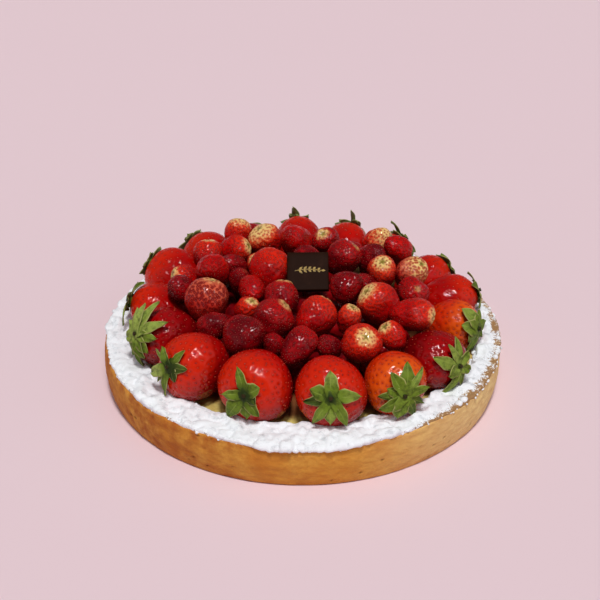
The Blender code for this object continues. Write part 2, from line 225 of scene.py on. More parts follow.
class Bunch:
    """Many small shapes, gathered into one mesh."""

    def __init__(self) -> None:
        """Starts with no shapes."""
        self.points: list[Points] = []
        self.faces: list[Face] = []
        self.marks: dict[str, list[Points]] = {}
        self.count = 0

    def add(self, points: Points, faces: list[Face], marks: dict[str, Points] | None = None) -> None:
        """Adds a shape.

        Args:
            points: Its points, one a row.
            faces: Its faces, as tuples of its own point numbers.
            marks: Values to keep at each point, by name.
        """
        self.points.append(points)
        self.faces += [tuple(corner + self.count for corner in face) for face in faces]
        self.count += len(points)
        for key, values in (marks or {}).items():
            self.marks.setdefault(key, []).append(values)

    def mesh(self, name: str) -> Mesh:
        """All the shapes as one mesh."""
        marks = {key: np.concatenate(values) for key, values in self.marks.items()}
        return make_mesh(name, np.concatenate(self.points), self.faces, marks)


def add_object(
    name: str, data: Any, place: Vector | None = None, aim: Quaternion | None = None
) -> bpy.types.Object:
    """Adds an object to the scene.

    Args:
        name: The object's name.
        data: Its mesh, light or camera.
        place: Where it stands, if its data isn't in place.
        aim: How it is turned there.

    Returns:
        The object.
    """
    made = bpy.data.objects.new(name, data)
    if place is not None:
        made.location = place
        made.rotation_mode = "QUATERNION"
        made.rotation_quaternion = aim
    bpy.context.scene.collection.objects.link(made)
    return made


def add_piece(name: str, mesh: Mesh, finish: Material, slot: str, *nodes: str) -> None:
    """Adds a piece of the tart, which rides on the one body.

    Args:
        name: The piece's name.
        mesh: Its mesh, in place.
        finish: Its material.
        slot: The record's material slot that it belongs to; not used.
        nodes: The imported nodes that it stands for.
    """
    piece = add_object(name, mesh)
    mesh.materials.clear()
    mesh.materials.append(finish)
    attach(piece, "root")
    if nodes:
        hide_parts(*nodes)
    LOG.info("%s: %d faces", name, len(mesh.polygons))


def node_points(node: str) -> tuple[Points, list[set[int]]]:
    """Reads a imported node's corners.

    Args:
        node: The node's name.

    Returns:
        Its separate corners, one a row, and for each corner the corners that an edge joins it to.
    """
    mesh = frame["nodes"][node].data
    corners = np.empty(len(mesh.vertices) * 3, dtype=np.float32)
    mesh.vertices.foreach_get("co", corners)
    corners = corners.reshape(-1, 3).astype(float)
    _, first, same = np.unique(np.round(corners / WELD), axis=0, return_index=True, return_inverse=True)
    same = same.ravel()
    joined: list[set[int]] = [set() for _ in first]
    for start, end in mesh.edge_keys:
        if same[start] != same[end]:
            joined[same[start]].add(same[end])
            joined[same[end]].add(same[start])
    return corners[first], joined


def node_tree(node: str) -> BVHTree:
    """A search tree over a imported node's surface.

    Args:
        node: The node's name.

    Returns:
        The tree.
    """
    mesh = frame["nodes"][node].data
    faces = [tuple(face.vertices) for face in mesh.polygons]
    return BVHTree.FromPolygons([vertex.co for vertex in mesh.vertices], faces)


def spiral(count: int) -> Points:
    """Spreads directions evenly over a sphere, along a golden spiral.

    Args:
        count: How many there are.

    Returns:
        The directions, from +Z to -Z, one a row.
    """
    steps = np.arange(count) + 0.5
    height = 1 - 2 * steps / count
    turn = steps * math.pi * (3 - math.sqrt(5))
    flat = np.sqrt(1 - height**2)
    return polar_points(flat, turn, height)


def ball(cuts: int) -> tuple[Points, list[Face]]:
    """An evenly meshed ball of radius 1.

    Args:
        cuts: How many times its faces are cut in four, counting the plain one as 1.

    Returns:
        Its points, one a row, and its faces.
    """
    form = bmesh.new()
    bmesh.ops.create_icosphere(form, subdivisions=cuts, radius=1)
    points = np.array([vertex.co[:] for vertex in form.verts])
    faces = [tuple(vertex.index for vertex in face.verts) for face in form.faces]
    form.free()
    return points, faces


# ---- Finishes ----


class NodeSheet:
    """The shader nodes of one material, built with short calls. A value is a number, a colour or a socket."""

    def __init__(self, name: str) -> None:
        """Starts a material that has only its main shader.

        Args:
            name: The material's name.
        """
        self.material = bpy.data.materials.new(name)
        self.material.use_nodes = True
        self.tree = self.material.node_tree
        self.shader = self.tree.nodes["Principled BSDF"]
        self.place = self.node("ShaderNodeTexCoord").outputs["Object"]

    def node(self, kind: str, **settings: Any) -> bpy.types.Node:
        """Adds a node.

        Args:
            kind: Its type.
            settings: Its own properties, by name.

        Returns:
            The node.
        """
        made = self.tree.nodes.new(kind)
        for key, value in settings.items():
            setattr(made, key, value)
        return made

    def feed(self, node: bpy.types.Node, values: dict[str | int, Any]) -> None:
        """Links or sets a node's sockets.

        Args:
            node: The node.
            values: The value of each socket, by the socket's name or number.
        """
        for key, value in values.items():
            socket = node.inputs[key]
            if isinstance(value, Socket):
                self.tree.links.new(value, socket)
            else:
                socket.default_value = (*value, 1.0) if socket.type == "RGBA" else value

    def set(self, **values: Any) -> None:
        """Sets or links the main shader's sockets, named with underscores for spaces."""
        self.feed(self.shader, {key.replace("_", " "): value for key, value in values.items()})

    def noise(
        self,
        size: float,
        detail: float = 3.0,
        roughness: float = 0.55,
        swirl: float = 0.0,
        squash: float = 1.0,
    ) -> Socket:
        """Cloudy noise.

        Args:
            size: How wide its patches are.
            detail: How many finer layers it has.
            roughness: How strong the finer layers are.
            swirl: How far it is twisted out of shape.
            squash: How many times wider than high its patches are.

        Returns:
            The noise, from 0 to 1.
        """
        squashed = self.node("ShaderNodeVectorMath", operation="MULTIPLY")
        self.feed(squashed, {0: self.place, 1: (1, 1, squash)})
        made = self.node("ShaderNodeTexNoise")
        self.feed(made, {"Vector": squashed.outputs["Vector"], "Scale": 1 / size, "Detail": detail})
        self.feed(made, {"Roughness": roughness, "Distortion": swirl})
        return made.outputs["Fac"]

    def mark(self, name: str) -> Socket:
        """A value kept at the mesh's points."""
        return self.node("ShaderNodeAttribute", attribute_name=name).outputs["Fac"]

    def span(self, value: Any, low: float, high: float, to_low: float = 0.0, to_high: float = 1.0) -> Socket:
        """Stretches a value's range onto another, clamped and eased.

        Args:
            value: The value.
            low: Where its range starts.
            high: Where its range ends.
            to_low: Where the other range starts.
            to_high: Where the other range ends.

        Returns:
            The stretched value.
        """
        made = self.node("ShaderNodeMapRange", interpolation_type="SMOOTHSTEP")
        self.feed(made, {"Value": value, "From Min": low, "From Max": high})
        self.feed(made, {"To Min": to_low, "To Max": to_high})
        return made.outputs["Result"]

    def maths(self, operation: str, first: Any, second: Any) -> Socket:
        """Works out one value from two.

        Args:
            operation: What is done with them.
            first: The first value.
            second: The second value.

        Returns:
            The result.
        """
        made = self.node("ShaderNodeMath", operation=operation)
        self.feed(made, {0: first, 1: second})
        return made.outputs["Value"]

    def plus(self, first: Any, second: Any) -> Socket:
        """The sum of two values."""
        return self.maths("ADD", first, second)

    def minus(self, first: Any, second: Any) -> Socket:
        """A value less another one."""
        return self.maths("SUBTRACT", first, second)

    def times(self, first: Any, second: Any) -> Socket:
        """The product of two values."""
        return self.maths("MULTIPLY", first, second)

    def blend(self, share: Any, first: Any, second: Any) -> Socket:
        """Mixes two colours.

        Args:
            share: The second colour's share, from 0 to 1.
            first: The first colour.
            second: The second colour.

        Returns:
            The mixed colour.
        """
        made = self.node("ShaderNodeMix", data_type="RGBA")
        self.feed(made, {0: share, 6: first, 7: second})
        return made.outputs[2]

    def relief(self, height: Any, depth: float, under: Socket | None = None) -> Socket:
        """Bumps.

        Args:
            height: Their height, from 0 to 1.
            depth: How high a height of 1 stands.
            under: Other bumps that these ones lie on.

        Returns:
            The bumps, for a socket that takes a normal.
        """
        made = self.node("ShaderNodeBump")
        self.feed(made, {"Distance": depth, "Height": height})
        if under is not None:
            self.feed(made, {"Normal": under})
        return made.outputs["Normal"]


@dataclass(frozen=True)
class BakedCrust:
    """Golden shortcrust: sandy, faintly streaked, browner on one side, with dark specks low on the wall."""

    gold: Colour = shown(226, 168, 72)
    tan: Colour = shown(210, 136, 46)
    brown: Colour = shown(176, 94, 30)
    pale: Colour = shown(244, 218, 154)
    speck: Colour = shown(96, 46, 16)

    def material(self) -> Material:
        """The finish's material.

        Returns:
            The material.
        """
        sheet = NodeSheet("baked_crust")
        patches = sheet.span(sheet.noise(26 * MM, 4, 0.6), 0.35, 0.68)
        colour = sheet.blend(patches, self.gold, self.tan)
        fine = sheet.span(sheet.noise(1.6 * MM, 3, 0.7), 0.3, 0.75)
        colour = sheet.blend(sheet.times(fine, 0.45), colour, self.tan)
        colour = sheet.blend(sheet.mark("paled"), colour, self.pale)
        streaks = sheet.span(sheet.noise(7 * MM, 5, 0.7, 0.4, 3.5), 0.42, 0.7)
        colour = sheet.blend(sheet.times(streaks, 0.3), colour, self.brown)
        brown_share = sheet.times(sheet.mark("brown_share"), sheet.span(sheet.noise(7 * MM, 3), 0.25, 0.7))
        colour = sheet.blend(brown_share, colour, self.brown)
        colour = sheet.blend(sheet.times(sheet.mark("pit"), 0.85), colour, self.speck)
        grain = sheet.relief(sheet.noise(0.7 * MM, 4, 0.7), 0.25 * MM)
        sheet.set(Base_Color=colour, Roughness=0.78, Specular_IOR_Level=0.25)
        sheet.set(Normal=sheet.relief(sheet.noise(3 * MM, 3, 0.6), 0.5 * MM, grain))
        return sheet.material


@dataclass(frozen=True)
class SetCream:
    """Pastry cream with a faint skin, and reddish painted shade under the heap where the mark asks for it."""

    yellow: Colour = shown(230, 208, 122)
    shade: Colour = shown(200, 172, 96)
    # The reddish colour of the painted shade under the heap.
    heap_shade_colour: Colour = shown(124, 22, 16)

    def material(self) -> Material:
        """The finish's material.

        Returns:
            The material.
        """
        sheet = NodeSheet("pastry_cream")
        colour = sheet.blend(sheet.span(sheet.noise(5 * MM, 3), 0.35, 0.7), self.yellow, self.shade)
        # Painted shade: under the heap, in the dark gaps by the berries, the cream turns dark red.
        colour = sheet.blend(sheet.mark("painted_heap_shade"), colour, self.heap_shade_colour)
        sheet.set(Base_Color=colour, Roughness=0.42, Specular_IOR_Level=0.4)
        sheet.set(Normal=sheet.relief(sheet.noise(2.5 * MM, 3), 0.3 * MM))
        return sheet.material


@dataclass(frozen=True)
class SiftedSugar:
    """Icing sugar in soft clumps, with random patches of painted grey shade, and the crust showing through
    where it is thin.
    """

    white: Colour = shown(244, 247, 251)
    # The grey of the painted shade.
    shade_grey: Colour = shown(208, 212, 217)
    crust: Colour = shown(222, 190, 142)
    crumb: Colour = shown(142, 98, 58)

    def material(self) -> Material:
        """The finish's material.

        Returns:
            The material.
        """
        sheet = NodeSheet("icing_sugar")
        # Painted shade: random grey patches in place of shade in the sugar's hollows.
        painted_shade_patches = sheet.span(sheet.noise(4.2 * MM, 4, 0.65), 0.5, 0.72)
        colour = sheet.blend(painted_shade_patches, self.white, self.shade_grey)
        thin = sheet.plus(sheet.mark("thin"), sheet.minus(sheet.noise(2.2 * MM, 4, 0.7), 0.5))
        colour = sheet.blend(sheet.span(thin, 0.42, 0.8), colour, self.crust)
        crumbs = sheet.plus(sheet.mark("thin"), sheet.times(sheet.noise(1.1 * MM, 3, 0.6), 2.0))
        colour = sheet.blend(sheet.span(crumbs, 1.5, 1.62, 0.0, 0.8), colour, self.crumb)
        sheet.set(Base_Color=colour, Roughness=0.95, Specular_IOR_Level=0.1)
        sheet.set(Normal=sheet.relief(sheet.noise(1.1 * MM, 3, 0.6), 0.24 * MM))
        return sheet.material


@dataclass(frozen=True)
class BerrySkin:
    """Glazed strawberry skin: ripe and deep patches, darker seed pits that are partly painted shade, painted
    shade on the side away from the light, and a flush.

    The flush lies toward the stem end. Some berries also have an unripe shoulder round the stem's scar.
    """

    ripe: Colour
    deep: Colour
    flush: Colour
    pit: Colour
    # The colour of the painted shade on the side away from the light.
    shade: Colour
    pit_share: float = 0.6
    pit_core: float = 1.0
    cloud: float = 9 * MM
    shoulder: Colour = shown(236, 200, 128)
    shoulder_pit: Colour = shown(176, 44, 26)
    scar: Colour = shown(128, 112, 44)
    coat: float = 0.7
    coat_roughness: float = 0.05
    roughness: float = 0.5
    relief: float = 0.2 * MM

    def material(self, name: str) -> Material:
        """The finish's material.

        Args:
            name: The material's name.

        Returns:
            The material.
        """
        sheet = NodeSheet(name)
        pit = sheet.span(sheet.mark("pit"), 0.0, self.pit_core)
        clouds = sheet.noise(self.cloud, 3, 0.6)
        colour = sheet.blend(sheet.span(clouds, 0.36, 0.66), self.ripe, self.deep)
        warmth = sheet.plus(sheet.mark("flush"), sheet.times(clouds, 0.5))
        colour = sheet.blend(sheet.span(warmth, 0.45, 1.35), colour, self.flush)
        # Painted shade on the side of the berry that faces away from the light.
        colour = sheet.blend(sheet.mark("shade"), colour, self.shade)
        # Darker flesh round the seeds: partly the berry's own colour, partly painted shade in the seed pits.
        colour = sheet.blend(sheet.times(pit, self.pit_share), colour, self.pit)
        ragged = sheet.times(sheet.minus(sheet.noise(1.6 * MM, 3, 0.65), 0.5), 0.9)
        pale = sheet.plus(sheet.mark("paleness"), ragged)
        unripe = sheet.mark("unripe")
        flushed = sheet.span(pale, 0.22, 0.6)
        colour = sheet.blend(sheet.times(flushed, unripe), colour, self.flush)
        cream = sheet.blend(sheet.times(pit, 0.85), self.shoulder, self.shoulder_pit)
        creamed = sheet.span(pale, 0.38, 0.82)
        colour = sheet.blend(sheet.times(creamed, unripe), colour, cream)
        colour = sheet.blend(sheet.times(sheet.mark("scar"), unripe), colour, self.scar)
        sheet.set(Base_Color=colour, Roughness=self.roughness, Specular_IOR_Level=0.0)
        sheet.set(Coat_Weight=self.coat, Coat_Roughness=self.coat_roughness, Coat_IOR=1.4)
        pitted = sheet.relief(sheet.minus(1.0, sheet.mark("pit")), self.relief)
        sheet.set(Normal=sheet.relief(sheet.noise(1.2 * MM, 2, 0.5), 0.06 * MM, pitted))
        sheet.set(Coat_Normal=sheet.relief(sheet.noise(3.0 * MM, 1, 0.3, 1.2), 0.3 * MM, pitted))
        return sheet.material


@dataclass(frozen=True)
class SeedHusk:
    """Seeds, light ones and redder ones."""

    light: Colour
    russet: Colour

    def material(self, name: str) -> Material:
        """The finish's material.

        Args:
            name: The material's name.

        Returns:
            The material.
        """
        sheet = NodeSheet(name)
        colour = sheet.blend(sheet.span(sheet.noise(7 * MM, 4, 0.7), 0.36, 0.6), self.light, self.russet)
        sheet.set(Base_Color=colour, Roughness=0.35, Specular_IOR_Level=0.4)
        sheet.set(Coat_Weight=0.4, Coat_Roughness=0.2)
        return sheet.material


@dataclass(frozen=True)
class FreshLeaf:
    """Strawberry sepals: mid to lime green, paler at the rim and the midrib, downy pale underneath."""

    green: Colour = shown(106, 128, 34)
    dark: Colour = shown(38, 52, 14)
    lime: Colour = shown(160, 178, 84)
    edge: Colour = shown(184, 178, 112)
    under: Colour = shown(112, 130, 74)
    stub: Colour = shown(52, 38, 16)

    def material(self) -> Material:
        """The finish's material.

        Returns:
            The material.
        """
        sheet = NodeSheet("strawberry_leaf")
        tone = sheet.mark("tone")
        # Low tones, near the hub, are partly painted shade in the calyx's middle.
        colour = sheet.blend(sheet.span(tone, -0.5, -0.1), self.stub, self.dark)
        colour = sheet.blend(sheet.span(tone, 0.0, 0.5), colour, self.green)
        colour = sheet.blend(sheet.span(tone, 0.5, 1.0), colour, self.lime)
        patches = sheet.span(sheet.noise(2.6 * MM, 4, 0.7), 0.4, 0.75, 0.0, 0.7)
        colour = sheet.blend(patches, colour, self.dark)
        across = sheet.mark("across")
        colour = sheet.blend(sheet.span(across, 0.8, 1.0, 0.0, 0.8), colour, self.edge)
        colour = sheet.blend(sheet.span(across, 0.12, 0.0, 0.0, 0.35), colour, self.lime)
        colour = sheet.blend(sheet.mark("under"), colour, self.under)
        sheet.set(Base_Color=colour, Roughness=0.55, Specular_IOR_Level=0.15)
        sheet.set(Normal=sheet.relief(sheet.noise(1.1 * MM, 3, 0.65), 0.35 * MM))
        return sheet.material


@dataclass(frozen=True)
class TemperedChocolate:
    """Dark chocolate with a satin sheen and a faint bloom."""

    dark: Colour = shown(34, 14, 5)
    bloom: Colour = shown(46, 24, 12)

    def material(self) -> Material:
        """The finish's material.

        Returns:
            The material.
        """
        sheet = NodeSheet("dark_chocolate")
        colour = sheet.blend(sheet.span(sheet.noise(6 * MM, 4), 0.45, 0.8), self.dark, self.bloom)
        sheet.set(Base_Color=colour, Roughness=0.5, Specular_IOR_Level=0.03)
        sheet.set(Normal=sheet.relief(sheet.noise(2 * MM, 2), 0.05 * MM))
        return sheet.material


@dataclass(frozen=True)
class GoldPrint:
    """Thin matt gold printed on chocolate, worn so that the chocolate shows through."""

    gold: Colour = shown(150, 122, 52)
    worn: Colour = shown(84, 66, 34)

    def material(self) -> Material:
        """The finish's material.

        Returns:
            The material.
        """
        sheet = NodeSheet("gold_print")
        colour = sheet.blend(sheet.span(sheet.noise(1.5 * MM, 3, 0.7), 0.4, 0.75), self.gold, self.worn)
        sheet.set(Base_Color=colour, Metallic=0.15, Roughness=0.5, Specular_IOR_Level=0.3)
        return sheet.material


class Tone(Enum):
    """How ripe a strawberry is, by the record's material slot for it."""

    RED = "strawberry_red"
    DARK = "strawberry_dark"
    ORANGE = "strawberry_orange"
    PALE = "strawberry_pale"


# Each row gives the ripe, deep, flush, pit and shade colours; the shade colour is painted shade, and the pit
# colour partly painted shade.
LARGE_SKINS: dict[Tone, BerrySkin] = {
    tone: BerrySkin(
        *all_shown(*colours), pit_share, cloud=19 * MM, coat=0.75, coat_roughness=0.04, relief=0.14 * MM
    )
    for tone, pit_share, *colours in (
        (Tone.RED, 0.25, (190, 12, 4), (160, 5, 5), (208, 38, 10), (146, 5, 4), (122, 2, 7)),
        (Tone.DARK, 0.3, (144, 3, 8), (110, 2, 6), (162, 6, 9), (86, 1, 4), (78, 1, 6)),
        (Tone.ORANGE, 0.32, (214, 54, 7), (200, 28, 5), (228, 92, 20), (166, 16, 5), (172, 14, 5)),
    )
}
SMALL_SKINS: dict[Tone, BerrySkin] = {
    tone: BerrySkin(*all_shown(*colours), pit_share=0.7)
    for tone, *colours in (
        (Tone.RED, (202, 15, 10), (160, 6, 9), (218, 40, 18), (98, 1, 6), (98, 1, 8)),
        (Tone.DARK, (160, 9, 16), (104, 4, 12), (178, 16, 16), (54, 1, 6), (52, 0, 8)),
        (Tone.PALE, (206, 20, 12), (174, 10, 10), (220, 54, 26), (118, 4, 6), (126, 4, 8)),
    )
}
RIDGED_SKIN = BerrySkin(
    *all_shown((208, 56, 42), (184, 26, 22), (214, 96, 68), (122, 3, 8), (116, 3, 8)),
    pit_share=0.9,
    pit_core=0.5,
)

LARGE_SEEDS = SeedHusk(shown(206, 74, 38), shown(156, 20, 12))
SMALL_SEEDS = SeedHusk(shown(196, 78, 56), shown(124, 20, 18))


# ---- Strawberries ----


@dataclass
class BerryForm:
    """A strawberry's place and shape: a flat dome round the stem end, a cone toward the tip.

    Attributes:
        middle: The centre of its widest circle.
        axes: Two directions across the berry and the direction of its stem end, one a row.
        length: Its length from stem end to tip.
        girths: The widest circle's radius, as harmonics of the angle round the axis.
        point: From 1, a blunt tip, upward.
    """

    middle: Points
    axes: Points
    length: float
    girths: Points
    point: float

    STEM_SHARE = 0.4         # the stem end's dome, as a share of the length
    STEM_ROUNDNESS = 0.85    # under 1, so the dome is flatter than a ball
    HARMONICS = 4
    BLUNT = 1.2              # an even berry's point
    LARGE_SIDES = 12         # how many edges meet at a large berry's poles
    SMALL_SIDES = 9

    @classmethod
    def round_about(cls, middle: Points, stem: Points, width: float, length: float) -> "BerryForm":
        """A berry of even girth, from its widest circle's centre, its stem end's direction and its size."""
        return cls(np.asarray(middle), cls.across(stem), length, np.array([width / 2]), cls.BLUNT)

    @staticmethod
    def across(stem: Points) -> Points:
        """A berry's own axes.

        Args:
            stem: The direction of its stem end.

        Returns:
            To the right and up, as seen from the stem end, then the stem end's own direction, one a row.
        """
        stem = np.asarray(stem, dtype=float)
        stem = stem / np.linalg.norm(stem)
        upward = np.array([0.0, 0.0, 1.0]) if abs(stem[2]) < 0.95 else np.array([0.0, 1.0, 0.0])
        up = upward - stem * (upward @ stem)
        up /= np.linalg.norm(up)
        return np.stack([np.cross(up, stem), up, stem])

    @classmethod
    def of_node(cls, node: str, leafy: bool) -> "BerryForm":
        """Reads a berry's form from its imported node.

        A known number of edges meets at each pole. A small berry shows both poles, and its tip is the one
        farther from the middle. A large berry's tip is the pole nearest the tart's axis.

        Args:
            node: The node's name.
            leafy: Whether the berry has leaves.

        Returns:
            The berry's form.
        """
        corners, joined = node_points(node)
        sides = cls.LARGE_SIDES if leafy else cls.SMALL_SIDES
        poles = [pole for pole, near in enumerate(joined) if len(near) == sides]
        if leafy:
            tip = min(poles, key=lambda pole: np.hypot(*corners[pole][:2]))
            stem = corners[list(joined[tip])].mean(axis=0) - corners[tip]
        else:
            middle = corners.mean(axis=0)
            poles.sort(key=lambda pole: np.linalg.norm(corners[pole] - middle))
            tip = poles[-1]
            stem = corners[poles[0]] - corners[tip]
        axes = cls.across(stem)
        seen = (corners - corners[tip]) @ axes.T
        reach = np.hypot(seen[:, 0], seen[:, 1])
        level = seen[reach.argmax(), 2]
        widest = np.flatnonzero(abs(seen[:, 2] - level) < 0.02 * MM)
        angle = np.arctan2(seen[widest, 1], seen[widest, 0])
        waves = [np.exp(-1j * order * angle) for order in range(cls.HARMONICS)]
        girths = np.array([(reach[widest] * wave).mean() for wave in waves])
        first = seen[list(joined[tip])]
        sine = math.sqrt(1 - (1 - first[:, 2].mean() / level) ** 2)
        point = math.log(np.hypot(first[:, 0], first[:, 1]).mean() / girths[0].real) / math.log(sine)
        return cls(corners[tip] + axes[2] * level, axes, level / (1 - cls.STEM_SHARE), girths, point)

    @property
    def width(self) -> float:
        """The berry's mean width."""
        return 2 * float(self.girths[0].real)

    def skin(self, directions: Points) -> Points:
        """Points of the berry's even skin, in its own axes.

        Args:
            directions: Directions from the middle, with the stem end at +Z, one a row.

        Returns:
            The skin's points, from the middle, one a row.
        """
        sine = np.hypot(directions[:, 0], directions[:, 1])
        angle = np.arctan2(directions[:, 1], directions[:, 0])
        girth = np.full(len(directions), self.girths[0].real)
        for order, part in enumerate(self.girths[1:], 1):
            girth += 2 * (part * np.exp(1j * order * angle)).real
        above = directions[:, 2] > 0
        reach = girth * sine ** np.where(above, self.STEM_ROUNDNESS, self.point)
        depth = directions[:, 2] * self.length * np.where(above, self.STEM_SHARE, 1 - self.STEM_SHARE)
        return polar_points(reach, angle, depth)

    def outward(self, directions: Points) -> Points:
        """Which way the skin faces.

        Args:
            directions: Directions from the middle, with the stem end at +Z, one a row.

        Returns:
            The skin's outward directions at its points that lie that way, one a row.
        """
        step = 0.01
        turned = np.stack([-directions[:, 1], directions[:, 0], np.zeros(len(directions))], axis=1)
        level = np.hypot(directions[:, 0], directions[:, 1])[:, None]
        turned = np.where(level > 1e-6, turned / np.maximum(level, 1e-6), [0.0, 1.0, 0.0])
        risen = np.cross(directions, turned)
        sides = []
        for way in (turned, risen):
            ahead, behind = directions + way * step, directions - way * step
            ahead /= np.linalg.norm(ahead, axis=1)[:, None]
            behind /= np.linalg.norm(behind, axis=1)[:, None]
            sides.append(self.skin(ahead) - self.skin(behind))
        out = np.cross(sides[0], sides[1])
        out /= np.maximum(np.linalg.norm(out, axis=1), 1e-12)[:, None]
        return out * np.where((out * self.skin(directions)).sum(axis=1) < 0, -1.0, 1.0)[:, None]

    def placed(self, local: Points) -> Points:
        """Moves points from the berry's own axes into the tart's."""
        return self.middle + local @ self.axes


@dataclass
class Strawberry:
    """One strawberry's flesh and seeds.

    Attributes:
        form: Its place and shape.
        seed: The number that its random details start from.
        seed_gap: How far apart its seeds are.
        pit_depth: How deep the seeds' pits are.
        unevenness: How far the flesh strays from an even form, as a share of its width.
        painted_light: The direction of its painted light; the side that faces away from it gets painted
            shade.
        shoulder: How far its unripe shoulder reaches from the stem end, as a share of the way to the tip.
        scarred: Whether it shows the scar of a pulled stem.
    """

    form: BerryForm
    seed: int
    seed_gap: float
    pit_depth: float
    unevenness: float = 0.018
    painted_light: tuple[float, float, float] = (0.0, 0.0, 1.0)
    shoulder: float = 0.0
    scarred: bool = False
    seeds: Points = field(init=False)

    PIT_SHARE = 0.36         # how far a pit reaches, as a share of the gap between seeds
    BALL_SHARE = 0.85        # the skin's area, as a share of that of a ball as wide and long
    SEED_AREA = 0.87         # the skin that each seed has to itself, in squares of the gap
    STRAY = 0.2              # how far a seed strays, as a share of the gap
    SCAR_RADIUS = 1.9 * MM
    SCAR_DEPTH = 0.8 * MM
    RELIEF = Lumps(5)

    def __post_init__(self) -> None:
        """Spreads the seeds along a golden spiral, each a little out of line."""
        area = math.pi * self.form.width * self.form.length * self.BALL_SHARE
        directions = spiral(int(area / (self.SEED_AREA * self.seed_gap**2)))
        wide = self.STRAY * self.seed_gap / self.form.width
        stray = np.random.default_rng(self.seed).normal(0, wide, directions.shape)
        directions = directions + 2 * stray
        self.seeds = directions / np.linalg.norm(directions, axis=1)[:, None]

    def pits(self, points: Points, seeds: Points) -> Points:
        """How deep in a seed's pit each point lies, from 0 to 1."""
        gaps = np.linalg.norm(points[:, None, :] - seeds[None, :, :], axis=2).min(axis=1)
        return np.exp(-((gaps / (self.PIT_SHARE * self.seed_gap)) ** 2))

    def bulge(self, local: Points) -> Points:
        """How far the flesh stands out of its even form.

        Args:
            local: Points of the even form, one a row.

        Returns:
            A height for each point.
        """
        shifted = local + self.seed * 0.37
        broad = self.RELIEF.rough(shifted, self.form.width * 0.45, 2)
        return broad * self.unevenness * self.form.width

    def flesh(self, cuts: int) -> Mesh:
        """The berry's pitted flesh.

        Args:
            cuts: How finely the ball that it is shaped from is meshed.

        Returns:
            The mesh, in place, with the marks that its skin reads.
        """
        directions, faces = ball(cuts)
        even = self.form.skin(directions)
        out = self.form.outward(directions)
        pit = self.pits(even, self.form.skin(self.seeds))
        down = (self.form.length * self.form.STEM_SHARE - even[:, 2]) / self.form.length
        from_axis = np.hypot(even[:, 0], even[:, 1])
        scar = np.zeros(len(even))
        if self.scarred:
            star = 1 + 0.4 * np.cos(5 * np.arctan2(even[:, 1], even[:, 0]) + self.seed)
            scar = smooth(1.4 - from_axis / (self.SCAR_RADIUS * star)) * (even[:, 2] > 0)
            pit = pit * (1 - scar)
        lift = self.bulge(even) - pit * self.pit_depth - scar * self.SCAR_DEPTH
        polar = np.arccos(np.clip(directions[:, 2], -1, 1)) / math.pi
        marks = {
            "pit": pit,
            "scar": scar,
            "flush": smooth(1 - down / 0.7),
            "paleness": 1.1 - 0.75 * polar / max(self.shoulder, 0.01),
            "unripe": np.full(len(even), min(self.shoulder / 0.22, 1.0)),
            # Painted shade: the skin that faces away from the painted light is darkened.
            "shade": smooth(0.35 - 0.75 * (out @ self.form.axes) @ np.array(self.painted_light)),
        }
        return make_mesh("flesh", self.form.placed(even + out * lift[:, None]), faces, marks)

    def seed_places(self) -> tuple[Points, Points]:
        """Finds the seeds' places.

        Returns:
            Where the seeds sit and which way they face, in the tart's axes, one a row.
        """
        even = self.form.skin(self.seeds)
        out = self.form.outward(self.seeds)
        sunk = self.bulge(even) - self.pit_depth * 0.9
        return self.form.placed(even + out * sunk[:, None]), out @ self.form.axes


@dataclass(frozen=True)
class SeedShape:
    """A seed: a flat drop, longer toward the berry's ends."""

    length: float
    width: float
    height: float

    SIDES = 5

    def scatter(self, name: str, berries: list[Strawberry]) -> Mesh:
        """All the seeds of some berries, in one mesh.

        Args:
            name: The mesh's name.
            berries: The berries that bear them.

        Returns:
            The mesh, in place.
        """
        turn = ring_angles(self.SIDES)
        rim = np.stack([np.cos(turn) * self.length / 2, np.sin(turn) * self.width / 2, 0 * turn], axis=1)
        rim[:, 1] *= 1 - 0.5 * np.cos(turn)
        shape = np.concatenate([rim, [[0.0, 0.0, self.height]]])
        top = len(shape) - 1
        fan = [(side, (side + 1) % self.SIDES, top) for side in range(self.SIDES)]
        fan.append(tuple(reversed(range(self.SIDES))))
        bunch = Bunch()
        for berry in berries:
            places, outs = berry.seed_places()
            along = np.cross(np.cross(outs, berry.form.axes[2]), outs)
            along /= np.maximum(np.linalg.norm(along, axis=1), 1e-9)[:, None]
            across = np.cross(outs, along)
            for place, *axes in zip(places, along, across, outs):
                bunch.add(place + shape @ np.array(axes), fan)
        return bunch.mesh(name)


class Leaf(NamedTuple):
    """A leaf of a large strawberry's calyx. Lengths in millimetres, angles in degrees."""

    turn: float          # which way it points, seen from the stem end: 0 up, 90 to the right
    length: float
    width: float
    lift: float = 1.5    # how far its tip stands off the berry
    tone: float = 0.5    # 0 dark, 0.5 mid green, 1 lime


class Hub(NamedTuple):
    """The middle of a calyx, where its leaves join: its radius in millimetres and its tone, which the leaves
    take near their base; a dark tone there is painted shade.
    """

    radius: float = 3.6
    tone: float = 0.3


